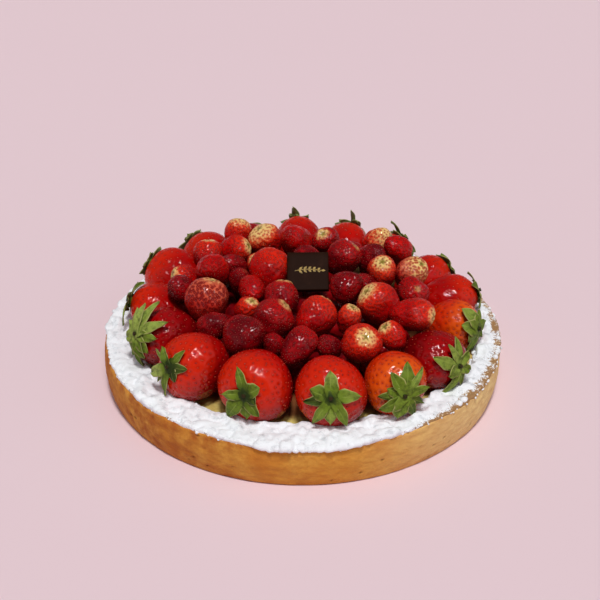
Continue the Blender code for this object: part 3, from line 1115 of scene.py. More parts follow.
@dataclass
class Calyx:
    """The leaves of a large strawberry, the hub that they grow from and the stub of the stem.

    Attributes:
        form: The berry's form.
        hub: The hub.
        leaves: The leaves, the later ones over the earlier ones.
        seed: The number that its random details start from.
    """

    form: BerryForm
    hub: Hub
    leaves: list[Leaf]
    seed: int

    THICKNESS = 0.4 * MM
    ROWS = 17
    COLUMNS = 9
    OUTLINE = ((0.0, 0.15, 0.35, 0.5, 0.65, 0.8, 0.92, 1.0), (0.72, 0.8, 0.97, 1.0, 0.9, 0.64, 0.34, 0.03))
    BASE_OFFSET = 0.6 * MM
    LAYER = 0.12 * MM
    HUB_SIDES = 20
    HUB_PROFILE = ((1.1, -0.2), (0.95, 1.0), (0.7, 1.5), (0.35, 1.6))
    STUB_PROFILE = ((1.1, 1.7), (0.9, 2.3), (1.1, 2.8), (0.6, 2.9))
    PLAIN = 0.4          # the part of a leaf, from its rib to its rim, that is neither rib nor rim

    def meridian(self, angle: float, reach: Points) -> tuple[Points, Points]:
        """Walks from the stem end over the skin toward the widest circle.

        Args:
            angle: The direction round the axis, in the berry's own axes.
            reach: How far to walk, one value for each wanted point.

        Returns:
            The points and the skin's outward directions there, in the berry's own axes.
        """
        polar = np.linspace(0.001, 1.9, 60)
        skin = self.form.skin(polar_points(np.sin(polar), angle, np.cos(polar)))
        walked = np.concatenate([[0.0], np.cumsum(np.linalg.norm(np.diff(skin, axis=0), axis=1))])
        at = np.interp(reach, walked, polar)
        ways = polar_points(np.sin(at), angle, np.cos(at))
        return self.form.skin(ways), self.form.outward(ways)

    def blade(
        self, leaf: Leaf, order: int, chance: np.random.Generator
    ) -> tuple[Points, list[Face], dict[str, Points]]:
        """One leaf as a thin closed shell.

        Args:
            leaf: The leaf.
            order: Its place in the calyx, which keeps overlapping leaves apart.
            chance: The source of its random details.

        Returns:
            Its points, its faces and its marks.
        """
        angle = math.radians(90 - leaf.turn)
        along = np.linspace(0, 1, self.ROWS)
        across = np.linspace(-1, 1, self.COLUMNS)
        spine, out = self.meridian(angle, along * leaf.length * MM)
        sideways = np.array([-math.sin(angle), math.cos(angle), 0.0])
        half = leaf.width * MM / 2 * np.interp(along, *self.OUTLINE)
        half = half * (1 + 0.07 * np.sin(along * 15 + chance.uniform(0, TAU)))
        lopsided = 1 + chance.uniform(-0.22, 0.22) * across
        sway = chance.uniform(-1, 1) * leaf.length * MM * 0.14 * along**2
        fold = chance.uniform(-0.1, 0.45)
        curl = chance.uniform(0.3, 0.9) * MM
        ripple = chance.uniform(0, TAU)
        stand = self.BASE_OFFSET + order * self.LAYER + leaf.lift * MM * along**1.6
        points = np.zeros((self.ROWS, self.COLUMNS, 3))
        for row in range(self.ROWS):
            side = across * lopsided * half[row]
            rise = stand[row] - side**2 / (self.form.width * 0.9) + fold * np.abs(side)
            rise += curl * along[row] * np.sin(3 * across + ripple + 5 * along[row])
            points[row] = spine[row] + sideways * (side + sway[row])[:, None] + out[row] * rise[:, None]
        upper = points.reshape(-1, 3)
        lower = upper - np.repeat(out, self.COLUMNS, axis=0) * self.THICKNESS
        count = len(upper)
        top = grid_faces(self.ROWS, self.COLUMNS, False)
        faces = [tuple(reversed(face)) for face in top]
        faces += [tuple(corner + count for corner in face) for face in top]
        edge = list(range(self.COLUMNS))
        edge += [row * self.COLUMNS + self.COLUMNS - 1 for row in range(1, self.ROWS)]
        edge += [(self.ROWS - 1) * self.COLUMNS + column for column in range(self.COLUMNS - 2, -1, -1)]
        edge += [row * self.COLUMNS for row in range(self.ROWS - 2, 0, -1)]
        faces += [(a, b, b + count, a + count) for a, b in zip(edge, edge[1:] + edge[:1])]
        own = leaf.tone + chance.uniform(-0.06, 0.06)
        # Near its base a leaf takes the hub's tone: where that tone is dark, it is painted shade in the
        # calyx's middle.
        tone = self.hub.tone + (own - self.hub.tone) * smooth(along * leaf.length / (2 * self.hub.radius))
        free = smooth((along - 0.15) / 0.3)[:, None]
        marks = {
            "tone": np.tile(np.repeat(tone, self.COLUMNS), 2),
            "across": np.tile((self.PLAIN + (np.abs(across) - self.PLAIN) * free).ravel(), 2),
            "under": np.repeat([0.0, 1.0], count),
        }
        return np.concatenate([upper, lower]), faces, marks

    def crown(self) -> tuple[Points, list[Face], dict[str, Points]]:
        """The hub, draped over the stem end, and the stub of the stem on it.

        Returns:
            Their points, faces and marks.
        """
        turn = ring_angles(self.HUB_SIDES)
        lobed = 1 + 0.16 * np.sin(len(self.leaves) * turn + self.seed)
        draped = np.zeros((len(self.HUB_PROFILE), self.HUB_SIDES, 3))
        for side, angle in enumerate(turn):
            reach = [self.hub.radius * MM * wide * lobed[side] for wide, _ in self.HUB_PROFILE]
            spine, out = self.meridian(angle, reach)
            draped[:, side] = spine + out * np.array([[high * MM] for _, high in self.HUB_PROFILE])
        top = self.form.length * self.form.STEM_SHARE
        stub = [[[r * math.cos(a), r * math.sin(a), z] for a in turn] for r, z in self.STUB_PROFILE]
        stub = np.array(stub) * MM + (0, 0, top)
        points = np.concatenate([draped, stub]).reshape(-1, 3)
        rings = len(self.HUB_PROFILE) + len(self.STUB_PROFILE)
        faces = grid_faces(rings, self.HUB_SIDES, True)
        faces.append(tuple(range(len(points) - self.HUB_SIDES, len(points))))
        # The hub's top ring is darker: painted shade round the stub's foot; the stub runs from dark green to
        # brown.
        tones = [self.hub.tone] * (len(self.HUB_PROFILE) - 1) + [self.hub.tone - 0.15, -0.1, -0.3, -0.5, -0.5]
        marks = {
            "tone": np.repeat(tones, self.HUB_SIDES),
            "across": np.full(len(points), self.PLAIN),
            "under": np.zeros(len(points)),
        }
        return points, faces, marks

    def mesh(self) -> Mesh:
        """Joins the leaves, the hub and the stub.

        Returns:
            The calyx's mesh, in place.
        """
        chance = np.random.default_rng(self.seed)
        parts = [self.blade(leaf, order, chance) for order, leaf in enumerate(self.leaves)]
        bunch = Bunch()
        for points, faces, marks in [*parts, self.crown()]:
            bunch.add(self.form.placed(points), faces, marks)
        return bunch.mesh("calyx")


@dataclass
class BerryRing:
    """The large strawberries round the edge."""

    seed_gap: float = 3.8 * MM
    pit_depth: float = 0.32 * MM
    front: int = 7
    front_cuts: int = 6
    back_cuts: int = 5
    # Painted light from the upper left: the large berries' lower right sides get painted shade.
    painted_light: tuple[float, float, float] = (-0.5, -0.1, 0.86)
    husk: SeedShape = SeedShape(1.25 * MM, 0.8 * MM, 0.35 * MM)
    berries: list[Strawberry] = field(default_factory=list)

    LEAF_SEED = 400
    CALYX_SEED = 60
    # By the berry's number: its hub's radius and tone, and each leaf's turn, length, width, lift and tone.
    HUBS = {number: Hub(*hub) for number, hub in {
        1: (4.4, 0.85), 2: (4.0, 0.05), 3: (4.2, 0.1), 4: (4.4, 0.2), 5: (5.0, 0.6), 6: (5.0, 0.75),
        7: (5.0, 0.45),
    }.items()}
    LEAVES = {number: [Leaf(*leaf) for leaf in leaves] for number, leaves in {
        1: ((168, 18, 6, 1.5, 0.35), (190, 13, 8, 1, 0.5), (230, 9.5, 8, 1.5, 0.7), (285, 11, 8, 2, 0.8),
            (135, 13, 7.5, 1.5, 0.3), (108, 12, 8, 1.5, 0.35), (75, 13.5, 6.5, 2, 0.5),
            (325, 12.5, 8, 3, 0.95), (350, 14, 7, 4, 0.9), (12, 18, 6.5, 4, 0.8), (42, 18.5, 6, 3, 0.85)),
        2: ((286, 15, 2.5, 2.5, 0.75), (210, 14, 2.4, 1.5, 0.5), (75, 11, 5.5, 1, 0.15),
            (125, 8, 6, 1, 0.1), (312, 11, 5.5, 1.5, 0.5), (30, 12.5, 4.6, 1.5, 0.45),
            (190, 16, 5, 1.5, 0.45), (236, 15.5, 7, 2.5, 0.95)),
        3: ((120, 7, 6, 1, 0.1), (150, 12.5, 6.5, 1.5, 0.35), (174, 13, 8, 1.2, 0.45),
            (214, 17, 8.5, 2, 0.5), (265, 12, 5.8, 1.5, 0.6), (342, 13.5, 5.5, 1.5, 0.4),
            (62, 8.5, 8, 2.2, 0.65)),
        4: ((253, 13.5, 5.5, 0.8, 0.1), (284, 10.5, 8.5, 1.5, 0.5), (213, 16.5, 5.5, 1.8, 0.65),
            (144, 16.5, 5.8, 1.8, 0.65), (186, 12.5, 10, 2, 0.7), (357, 12.5, 7.4, 1.8, 0.7),
            (84, 14, 7.2, 1.8, 0.7)),
        5: ((120, 13, 6, 1.5, 0.25), (147, 14, 6.5, 1.5, 0.25), (300, 9, 6, 1.5, 0.4),
            (270, 12.5, 5.4, 1.2, 0.35), (234, 13.5, 7.5, 1.8, 0.45), (190, 12, 8.5, 1.8, 0.6),
            (75, 12.5, 5.6, 2.2, 0.45), (45, 14.5, 4.5, 3, 0.75), (333, 12.5, 6.5, 1.8, 0.45),
            (14, 15, 8.5, 2.5, 0.5)),
        6: ((165, 11, 6, 2, 0.4), (130, 9, 6, 2, 0.5), (192, 16, 5.5, 1.5, 0.3),
            (205, 18.5, 5.5, 2.5, 0.65), (255, 8, 7, 1.5, 0.5), (60, 8.5, 6, 2.5, 0.5),
            (303, 15, 7, 2.2, 0.75), (345, 12, 4, 3.5, 0.75), (12, 13, 6, 3.5, 0.6)),
        7: ((150, 8, 6, 1.5, 0.35), (190, 14.5, 9, 1.5, 0.5), (215, 12, 8, 1.5, 0.4),
            (250, 9, 8.5, 1.5, 0.6), (300, 11.5, 9, 1.5, 0.7), (345, 14, 9, 2, 0.75), (25, 9, 8, 2, 0.6),
            (80, 8, 7, 2, 0.5)),
        16: ((5, 14, 6, 2, 0.3), (335, 10, 6, 2, 0.25), (40, 11, 5.5, 5.5, 0.1), (62, 12.5, 5, 6.5, 0.05),
             (118, 12, 5, 6, 0.15), (95, 11, 4.5, 5.5, 0.7), (200, 9, 6, 2, 0.3), (260, 9, 6, 1.5, 0.3)),
    }.items()}
    # One more leaf for each of three berries at the back, which stands up over the heap.
    UPRIGHT = {10: Leaf(0, 14, 3, 6, 0.6), 11: Leaf(355, 13, 3, 6, 0.6), 12: Leaf(15, 12, 4.5, 4, 0.3)}

    def leaves_of(self, number: int) -> list[Leaf]:
        """The leaves of one berry, set one by one at the front and by chance elsewhere.

        Args:
            number: The berry's number.

        Returns:
            Its leaves.
        """
        if number in self.LEAVES:
            return self.LEAVES[number]
        chance = np.random.default_rng(self.LEAF_SEED + number)
        count = int(chance.integers(6, 9))
        start = chance.uniform(0, 360)
        leaves = [
            Leaf(
                start + step * 360 / count + chance.uniform(-12, 12),
                chance.uniform(7, 11),
                chance.uniform(5, 7.5),
                chance.uniform(0.8, 2.5),
                chance.uniform(0.25, 0.65),
            )
            for step in range(count)
        ]
        return leaves + ([self.UPRIGHT[number]] if number in self.UPRIGHT else [])

    def build(self) -> None:
        """Makes the berries, their calyxes and their seeds."""
        skins = {tone: skin.material(f"large_{tone.value}") for tone, skin in LARGE_SKINS.items()}
        leaf = FreshLeaf().material()
        names = sorted(name for name in frame["nodes"] if name.startswith("ring_strawberry_"))
        for number, node in enumerate(names, 1):
            form = BerryForm.of_node(node, leafy=True)
            berry = Strawberry(form, number, self.seed_gap, self.pit_depth, painted_light=self.painted_light)
            self.berries.append(berry)
            cuts = self.front_cuts if number <= self.front else self.back_cuts
            add_piece(f"{node}_flesh", berry.flesh(cuts), skins[Tone(SLOTS[node])], SLOTS[node], node)
            hub = self.HUBS.get(number, Hub())
            calyx = Calyx(form, hub, self.leaves_of(number), self.CALYX_SEED + number)
            add_piece(f"{node}_leaves", calyx.mesh(), leaf, "strawberry_leaf")
        seeds = self.husk.scatter("large_seeds", self.berries)
        add_piece("large_strawberry_seeds", seeds, LARGE_SEEDS.material("large_seeds"), "strawberry_seed")


@dataclass
class BerryHeap:
    """The small strawberries heaped inside the ring."""

    seed_gap: float = 2.1 * MM
    pit_depth: float = 0.36 * MM
    unevenness: float = 0.07
    cuts: int = 5
    husk: SeedShape = SeedShape(0.85 * MM, 0.6 * MM, 0.3 * MM)
    berries: list[Strawberry] = field(default_factory=list)

    # How far the unripe shoulders reach, by the berry's number.
    SHOULDERS = {
        1: 0.44, 2: 0.24, 3: 0.4, 5: 0.2, 7: 0.7, 8: 0.1, 11: 0.5, 12: 0.28, 14: 0.07, 15: 0.24, 16: 0.2,
        17: 0.14, 18: 0.26, 19: 0.2, 20: 0.22, 23: 0.14, 24: 0.2, 27: 0.16, 28: 0.2, 32: 0.28, 33: 0.2,
        36: 0.24,
    }
    FAINT_SHOULDER = 0.05
    FIRST_SEED = 100
    RIDGED = (11, 27)

    def build(self) -> None:
        """Makes the berries and their seeds."""
        skins = {tone: skin.material(f"small_{tone.value}") for tone, skin in SMALL_SKINS.items()}
        ridged = RIDGED_SKIN.material("small_strawberry_ridged")
        names = sorted(name for name in frame["nodes"] if name.startswith("small_strawberry_"))
        for number, node in enumerate(names, 1):
            form = BerryForm.of_node(node, leafy=False)
            shoulder = self.SHOULDERS.get(number, self.FAINT_SHOULDER)
            berry = Strawberry(
                form,
                self.FIRST_SEED + number,
                self.seed_gap,
                self.pit_depth,
                self.unevenness,
                shoulder=shoulder,
                scarred=True,
            )
            self.berries.append(berry)
            skin = ridged if number in self.RIDGED else skins[Tone(SLOTS[node])]
            add_piece(f"{node}_flesh", berry.flesh(self.cuts), skin, SLOTS[node], node)
        seeds = self.husk.scatter("small_seeds", self.berries)
        add_piece("small_strawberry_seeds", seeds, SMALL_SEEDS.material("small_seeds"), "strawberry_seed")


@dataclass
class LowerLayer:
    """The small strawberries under the ones that show whole, over a smaller core.

    Attributes:
        pitch: How far apart they lie.
        width: Their width.
        length: Their length.
        seed_gap: How far apart their seeds are.
        pit_depth: How deep the seeds' pits are.
        unevenness: How far their flesh strays from an even form, as a share of their width.
    """

    pitch: float = 15 * MM
    width: float = 15 * MM
    length: float = 18 * MM
    seed_gap: float = 2.5 * MM
    pit_depth: float = 0.3 * MM
    unevenness: float = 0.03

    NODE = "heap_lower_layer"
    MARKS = ("pit", "scar", "flush", "paleness", "unripe", "shade")
    CORE_SCALE = (0.9, 0.9, 0.6, 1)
    CHANCE = 77
    FIRST_SEED = 500

    def build(self) -> None:
        """Makes the lower berries as one mesh, and the core."""
        low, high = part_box(self.NODE)
        tree = node_tree(self.NODE)
        chance = np.random.default_rng(self.CHANCE)
        bunch = Bunch()
        directions, faces = ball(3)
        span = int((high.x - low.x) / self.pitch) + 1
        for row, column in itertools.product(range(-span, span + 1), repeat=2):
            x = (column + 0.5 * (row % 2)) * self.pitch
            y = row * self.pitch * math.sqrt(3) / 2
            top = tree.ray_cast(Vector((x, y, 1.0)), Vector((0, 0, -1)))[0]
            if top is None:
                continue
            stem = chance.normal(0, 1, 3) * (1, 1, 0.4)
            middle = np.array([x, y, max(top.z - 0.45 * self.width, low.z + 0.4 * self.width)])
            form = BerryForm.round_about(middle, stem, self.width, self.length)
            seed = self.FIRST_SEED + bunch.count
            berry = Strawberry(form, seed, self.seed_gap, self.pit_depth, self.unevenness)
            even = form.skin(directions)
            pits = berry.pits(even, form.skin(berry.seeds))
            lift = berry.bulge(even) - pits * berry.pit_depth
            bunch.add(form.placed(even + form.outward(directions) * lift[:, None]), faces, {"pit": pits})
        bunch.marks.update({key: [np.zeros(bunch.count)] for key in self.MARKS[1:]})
        skin = bpy.data.materials[f"small_{Tone.DARK.value}"]
        add_piece("lower_layer_berries", bunch.mesh("lower_berries"), skin, SLOTS[self.NODE], self.NODE)
        core = frame["nodes"][self.NODE].data.copy()
        foot = Matrix.Translation((0, 0, low.z))
        core.transform(foot @ Matrix.Diagonal(self.CORE_SCALE) @ foot.inverted())
        for key in self.MARKS:
            core.attributes.new(key, "FLOAT", "POINT")
        add_piece("lower_layer_core", core, skin, SLOTS[self.NODE])


# ---- Case, cream and sugar ----


@dataclass
class ShortcrustCase:
    """The baked case: a turned shell with sandy relief, pits and a browner foot.

    Attributes:
        steps: How many columns of faces go round it.
        wall: The wall's thickness at the rim.
        lean: How much wider the rim is than the base.
        bulge: How far the wall swells halfway up.
        floor: The floor's thickness.
        rim_rounding: How round the rim's edges are.
        foot_rounding: How round the base's edge is.
        swell: How far its surface swells broadly.
        sand: How high its sandy relief is.
        pit_depth: How deep its holes are.
        height: The rim's height.
        rim_radius: The rim's outer radius.
        relief: The relief of its surface.
    """

    steps: int = 800
    wall: float = 7 * MM
    lean: float = 1.4 * MM
    bulge: float = 1.7 * MM
    floor: float = 5 * MM
    rim_rounding: float = 1.7 * MM
    foot_rounding: float = 1.5 * MM
    swell: float = 0.5 * MM
    sand: float = 0.45 * MM
    pit_depth: float = 0.8 * MM
    height: float = field(init=False)
    rim_radius: float = field(init=False)
    relief: Lumps = field(default_factory=lambda: Lumps(21))

    NODE = "crust"
    WALL_ROWS = 26
    HUB = 10 * MM            # the radius of the flat faces in the middle of the floor and the base
    PITS = 130
    LOW_PITS = 0.6           # the share of them that lie near the foot
    PIT_REACH = 3 * MM
    CHANCE = 31              # what the random draws start from, here and in the other classes

    def __post_init__(self) -> None:
        """Takes the case's height and girth from its node."""
        low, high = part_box(self.NODE)
        self.height = high.z - 0.3 * MM
        self.rim_radius = (high.x - low.x) / 2 - self.bulge * 0.6

    def wall_radius(self, height: Points) -> Points:
        """The wall's outer radius at some heights."""
        share = height / self.height
        return self.rim_radius - self.lean * (1 - share) + self.bulge * 4 * share * (1 - share)

    def outline(self) -> Points:
        """Half section: across the floor, up the inner wall, over the rim, down the outer wall and under.

        Returns:
            Its points, as distances from the axis and heights, one a row.
        """
        inner, rim_level = self.rim_radius - self.wall, self.height - self.rim_rounding
        outer = self.wall_radius(np.array([rim_level]))[0]
        rim_in = self.arc(inner + self.rim_rounding, rim_level, self.rim_rounding, np.linspace(180, 90, 5))
        rim_out = self.arc(outer - self.rim_rounding, rim_level, self.rim_rounding, np.linspace(90, 0, 6))
        crown = np.linspace(rim_in[-1], rim_out[0], 6)[1:-1]
        levels = np.linspace(rim_level, self.foot_rounding, self.WALL_ROWS + 1)[1:]
        wall = np.stack([self.wall_radius(levels), levels], axis=1)
        foot_radius = wall[-1, 0] - self.foot_rounding
        foot = self.arc(foot_radius, self.foot_rounding, self.foot_rounding, np.linspace(0, -90, 5)[1:])
        inside = [[self.HUB, self.floor], [inner - 1 * MM, self.floor], [inner - 0.4 * MM, self.height * 0.6]]
        under = [[foot_radius - 4 * MM, 0.0], [self.HUB, 0.0]]
        return np.concatenate([inside, rim_in, crown, rim_out, wall, foot, under])

    @staticmethod
    def arc(radius: float, level: float, rounding: float, degrees: Points) -> Points:
        """Part of a small circle in the half section, from its middle, its own radius and its angles."""
        turn = np.radians(degrees)
        return np.stack([radius + rounding * np.cos(turn), level + rounding * np.sin(turn)], axis=1)

    def build(self) -> None:
        """Makes the case."""
        outline = self.outline()
        radius, level = np.repeat(outline, self.steps, axis=0).T
        angle = np.tile(ring_angles(self.steps), len(outline))
        even = polar_points(radius, angle, level)
        pit = self.pits(even)
        points = self.baked(even, pit)
        brown_share = 0.55 * smooth(1 - level / (5 * MM)) + 0.25 * smooth((level - 0.75 * self.height) / (4 * MM))
        # Browner on the left side; the right side is made paler below.
        brown_share += 0.95 * smooth(0.2 - np.cos(angle))
        marks = {
            "pit": pit,
            "brown_share": np.clip(brown_share + 0.15 * self.relief.at(points, 18 * MM), 0, 1),
            "paled": 0.85 * smooth((np.cos(angle) - 0.15) / 0.8),
        }
        mesh = make_mesh("case", points, turned_faces(len(outline), self.steps), marks)
        add_piece("shortcrust_case", mesh, BakedCrust().material(), "crust", self.NODE)

    def baked(self, even: Points, pit: Points | float = 0.0) -> Points:
        """Moves points of the even case to its baked surface, with broad swells, sandy relief and pits.

        Args:
            even: The points, one a row.
            pit: How deep in a pit each one lies, from 0 to 1.

        Returns:
            The moved points.
        """
        radius, level = np.hypot(even[:, 0], even[:, 1]), even[:, 2]
        outside = smooth((radius - self.rim_radius + self.wall) / (2 * MM)) * smooth(level / (1.5 * MM))
        broad = self.relief.rough(even, 30 * MM, 2) * self.swell
        sandy = self.relief.rough(even * (1, 1, 2.5), 5 * MM, 4) * self.sand
        moved = even.copy()
        moved[:, :2] *= (1 + outside * (broad + sandy - pit * self.pit_depth) / radius)[:, None]
        moved[:, 2] += outside * smooth((level - 0.7 * self.height) / (0.3 * self.height)) * broad * 0.6
        moved[:, 2] = np.maximum(moved[:, 2], 0.0)
        return moved

    def pits(self, points: Points) -> Points:
        """Small holes in the wall, more of them near the foot.

        Args:
            points: Points of the even case, one a row.

        Returns:
            How deep in a hole each point lies, from 0 to 1.
        """
        chance = np.random.default_rng(self.CHANCE)
        angle = chance.uniform(0, TAU, self.PITS)
        low = chance.uniform(0, 1, self.PITS) < self.LOW_PITS
        share = np.where(low, chance.beta(1.2, 5, self.PITS), chance.uniform(0.1, 0.95, self.PITS))
        level = self.height * share
        holes = polar_points(self.wall_radius(level), angle, level)
        size = chance.lognormal(math.log(0.45), 0.45, self.PITS).clip(0.25, 1.3) * MM
        depth = np.zeros(len(points))
        rows = np.flatnonzero(np.hypot(points[:, 0], points[:, 1]) > self.rim_radius - self.PIT_REACH)
        for hole, wide in zip(holes, size):
            close = rows[np.abs(points[rows] - hole).max(axis=1) < self.PIT_REACH]
            gap = np.linalg.norm((points[close] - hole) * (1, 1, 2.0), axis=1) / wide
            depth[close] = np.maximum(depth[close], np.exp(-(gap**2)))
        return depth


@dataclass
class PastryCream:
    """The filling: level under the berries, and climbing a little toward the wall.

    Attributes:
        steps: How many columns of faces go round it.
        rows: How many rows of points its top has outside its middle.
        flat_radius: Where it starts to climb.
        climb: How wide the climb is.
        climb_height: How high it climbs.
        ripple: How high its relief is.
        heap_shade_strength: How strong the reddish painted shade on it under the heap is, from 0 to 1.
        level: The height of its flat top.
        radius: Its radius.
        foot: The height of its underside.
        relief: The relief of its top.
    """

    steps: int = 360
    rows: int = 44
    flat_radius: float = 84 * MM
    climb: float = 13 * MM
    climb_height: float = 2.5 * MM
    ripple: float = 0.7 * MM
    heap_shade_strength: float = 0.85
    level: float = field(init=False)
    radius: float = field(init=False)
    foot: float = field(init=False)
    relief: Lumps = field(default_factory=lambda: Lumps(33))

    NODE = "pastry_cream"

    def __post_init__(self) -> None:
        """Takes the cream's level and width from its node."""
        low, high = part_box(self.NODE)
        self.foot = low.z
        self.level = high.z - self.climb_height - 0.4 * MM
        self.radius = (high.x - low.x) / 2

    def top(self, radius: Points) -> Points:
        """The height of the cream's top at some distances from the middle."""
        return self.level + self.climb_height * smooth((radius - self.flat_radius) / self.climb)

    def build(self) -> None:
        """Makes the cream."""
        radii = np.concatenate([[5 * MM, 30 * MM], np.linspace(55 * MM, self.radius, self.rows)])
        radius = np.repeat(radii, self.steps)
        points = polar_points(radius, np.tile(ring_angles(self.steps), len(radii)), self.top(radius))
        points[:, 2] += self.relief.rough(points, 9 * MM, 3) * self.ripple
        bottom = points[-self.steps :].copy()
        bottom[:, 2] = self.foot
        points = np.concatenate([points, bottom])
        reach = np.hypot(points[:, 0], points[:, 1])
        # Painted shade under the heap, growing toward the middle.
        painted_heap_shade = self.heap_shade_strength * smooth((self.flat_radius - 2 * MM - reach) / (9 * MM))
        mesh = make_mesh("cream", points, turned_faces(len(radii) + 1, self.steps), {"painted_heap_shade": painted_heap_shade})
        add_piece("cream_filling", mesh, SetCream().material(), "pastry_cream", self.NODE)


@dataclass
class IcingSugar:
    """The band of sifted sugar over the rim, with loose clumps on it and along its edges.

    Attributes:
        case: The case that it lies on.
        cream: The cream that its inner edge lies on.
        steps: How many columns of faces go round it.
        rows: How many rows it has from its inner edge to its outer one.
        inner_radius: Its inner edge's radius, where it is nearest the middle.
        thickness: How thick it is before its swells, puffs and grains.
        sunk: How far its edges dip under its bed.
        broad: How high its broad swells are.
        puffs: How high its puffs are.
        grains: How high its grains are.
        clumps: How many loose clumps there are.
        largest: The largest clump's size.
        relief: The relief of its surface and its edges.
    """

    case: ShortcrustCase
    cream: PastryCream
    steps: int = 1300
    rows: int = 42
    inner_radius: float = 87.5 * MM
    thickness: float = 1.3 * MM
    sunk: float = 0.5 * MM
    broad: float = 1.3 * MM
    puffs: float = 2.6 * MM
    grains: float = 0.18 * MM
    clumps: int = 900
    largest: float = 2.6 * MM
    relief: Lumps = field(default_factory=lambda: Lumps(41))

    # The waves of the band's edges: how long they are, how high, and what sets them apart from the others.
    INNER_WAVES = ((16 * MM, 5 * MM, 0.0), (5 * MM, 1.6 * MM, 0.1))
    OUTER_WAVES = ((14 * MM, 1.1 * MM, 0.3), (4 * MM, 0.5 * MM, 0.4))
    INNER_CLUMPS = 0.5       # the share of the clumps that lie along the inner edge
    OUTER_CLUMPS = 0.15
    CHANCE = 43

    def wander(self, angle: Points, waves: tuple[tuple[float, float, float], ...]) -> Points:
        """How far an edge of the band wanders at some angles."""
        rims = [(polar_points(self.case.rim_radius, angle, shift), size, high) for size, high, shift in waves]
        return sum(self.relief.rough(rim, size, 3) * high for rim, size, high in rims)

    def inner_edge(self, angle: Points) -> Points:
        """The band's inner edge, nearest the middle at the front and farthest at the right.

        Args:
            angle: Angles round the tart.

        Returns:
            A radius for each angle.
        """
        front = smooth((-np.sin(angle) + 0.4) / 1.4)
        right = smooth((np.cos(angle) - 0.3) / 0.5)
        shift = (1 - front) * 5 * MM + right * 4 * MM
        return self.inner_radius + shift + self.wander(angle, self.INNER_WAVES)

    def outer_edge(self, angle: Points) -> Points:
        """The band's outer edge, which drips over the rim at the front and reaches farthest there.

        Args:
            angle: Angles round the tart.

        Returns:
            A radius for each angle, counted along the surface past the rim's edge.
        """
        front = smooth((-np.sin(angle) - 0.93) / 0.07)
        right = smooth((np.cos(angle) - 0.55) / 0.3)
        reach = self.case.rim_radius + 0.2 * MM + front * 1.8 * MM + right * 1.3 * MM
        return reach + self.wander(angle, self.OUTER_WAVES)

    def support(self, radius: Points) -> Points:
        """The height of the cream and the rim under the sugar.

        Args:
            radius: Distances from the middle.

        Returns:
            A height for each distance.
        """
        rim = self.case.height - 0.2 * MM
        onto_rim = smooth((radius - (self.case.rim_radius - self.case.wall - 5 * MM)) / (6 * MM))
        return self.cream.top(radius) + (rim - self.cream.top(radius)) * onto_rim

    def bed(self, angle: Points, radius: Points) -> tuple[Points, Points]:
        """What the sugar lies on: the cream, the rim, and over the rim's edge the top of the wall.

        Args:
            angle: Angles round the tart.
            radius: Distances from the middle, counted along the surface past the rim's edge.

        Returns:
            The bed's points and the directions out of it, one a row.
        """
        rounding = self.case.rim_rounding
        brink = self.case.wall_radius(self.case.height - rounding) - rounding
        past = np.maximum(radius - brink, 0.0)
        turn = np.minimum(past / rounding, math.pi / 2)
        down = np.maximum(past - rounding * math.pi / 2, 0.0)
        over = self.case.height - rounding * (1 - np.cos(turn)) - down
        level = np.where(past > 0, over, self.support(radius))
        reach = np.where(past > 0, brink + rounding * np.sin(turn), radius)
        out = polar_points(np.sin(turn), angle, np.cos(turn))
        return self.case.baked(polar_points(reach, angle, level)), out

    def sparse(self, angle: Points, radius: Points) -> Points:
        """How sparse the sugar is, from 0 to 1: it thins out at the right, toward the outer edge."""
        right = smooth((np.cos(angle) - 0.3) / 0.4) * smooth((np.sin(angle) + 1.05) / 0.4)
        return 0.8 * right * smooth((radius - self.case.rim_radius + 8 * MM) / (7 * MM))

    def build(self) -> None:
        """Makes the band and its clumps."""
        turn = ring_angles(self.steps)
        share = np.repeat(0.5 - 0.5 * np.cos(np.linspace(0, math.pi, self.rows)), self.steps)
        angle = np.tile(turn, self.rows)
        inner, outer = np.tile(self.inner_edge(turn), self.rows), np.tile(self.outer_edge(turn), self.rows)
        radius = inner + (outer - inner) * share
        flat = polar_points(radius, angle, 0.0)
        body = smooth((radius - inner) / (1.8 * MM)) * smooth((outer - radius) / (1.3 * MM))
        drop = np.minimum(self.case.height - self.support(radius), 3 * MM)
        broad = self.relief.rough(flat, 7 * MM, 2) * self.broad + drop * 0.8
        puffs = np.abs(self.relief.rough(flat, 6.5 * MM, 2)) * self.puffs
        grains = self.relief.at(flat, 1.3 * MM) * self.grains
        thin = self.sparse(angle, radius)
        lump = self.thickness + self.sunk + (broad + puffs) * (1 - 0.7 * thin) + grains - thin * 1.0 * MM
        lift = body * np.maximum(lump, self.sunk + 0.2 * MM) - self.sunk
        points, out = self.bed(angle, radius)
        points += out * lift[:, None]
        edged = smooth((radius - outer + 2.4 * MM) / (2.2 * MM)) * 0.5
        thinned = np.clip(thin + edged - (puffs + broad) / (4 * MM), 0, 1)
        under = np.concatenate([points[-self.steps :], points[: self.steps]]) - (0, 0, 0.8 * MM)
        points = np.concatenate([points, under])
        faces = grid_faces(self.rows + 3, self.steps, True)
        faces = [tuple(corner % len(points) for corner in reversed(face)) for face in faces]
        thinned = np.concatenate([thinned, np.zeros(2 * self.steps)])
        sugar = SiftedSugar().material()
        band = make_mesh("sugar", points, faces, {"thin": thinned})
        add_piece("icing_sugar_band", band, sugar, "icing_sugar")
        add_piece("icing_sugar_clumps", self.clump_mesh(), sugar, "icing_sugar")

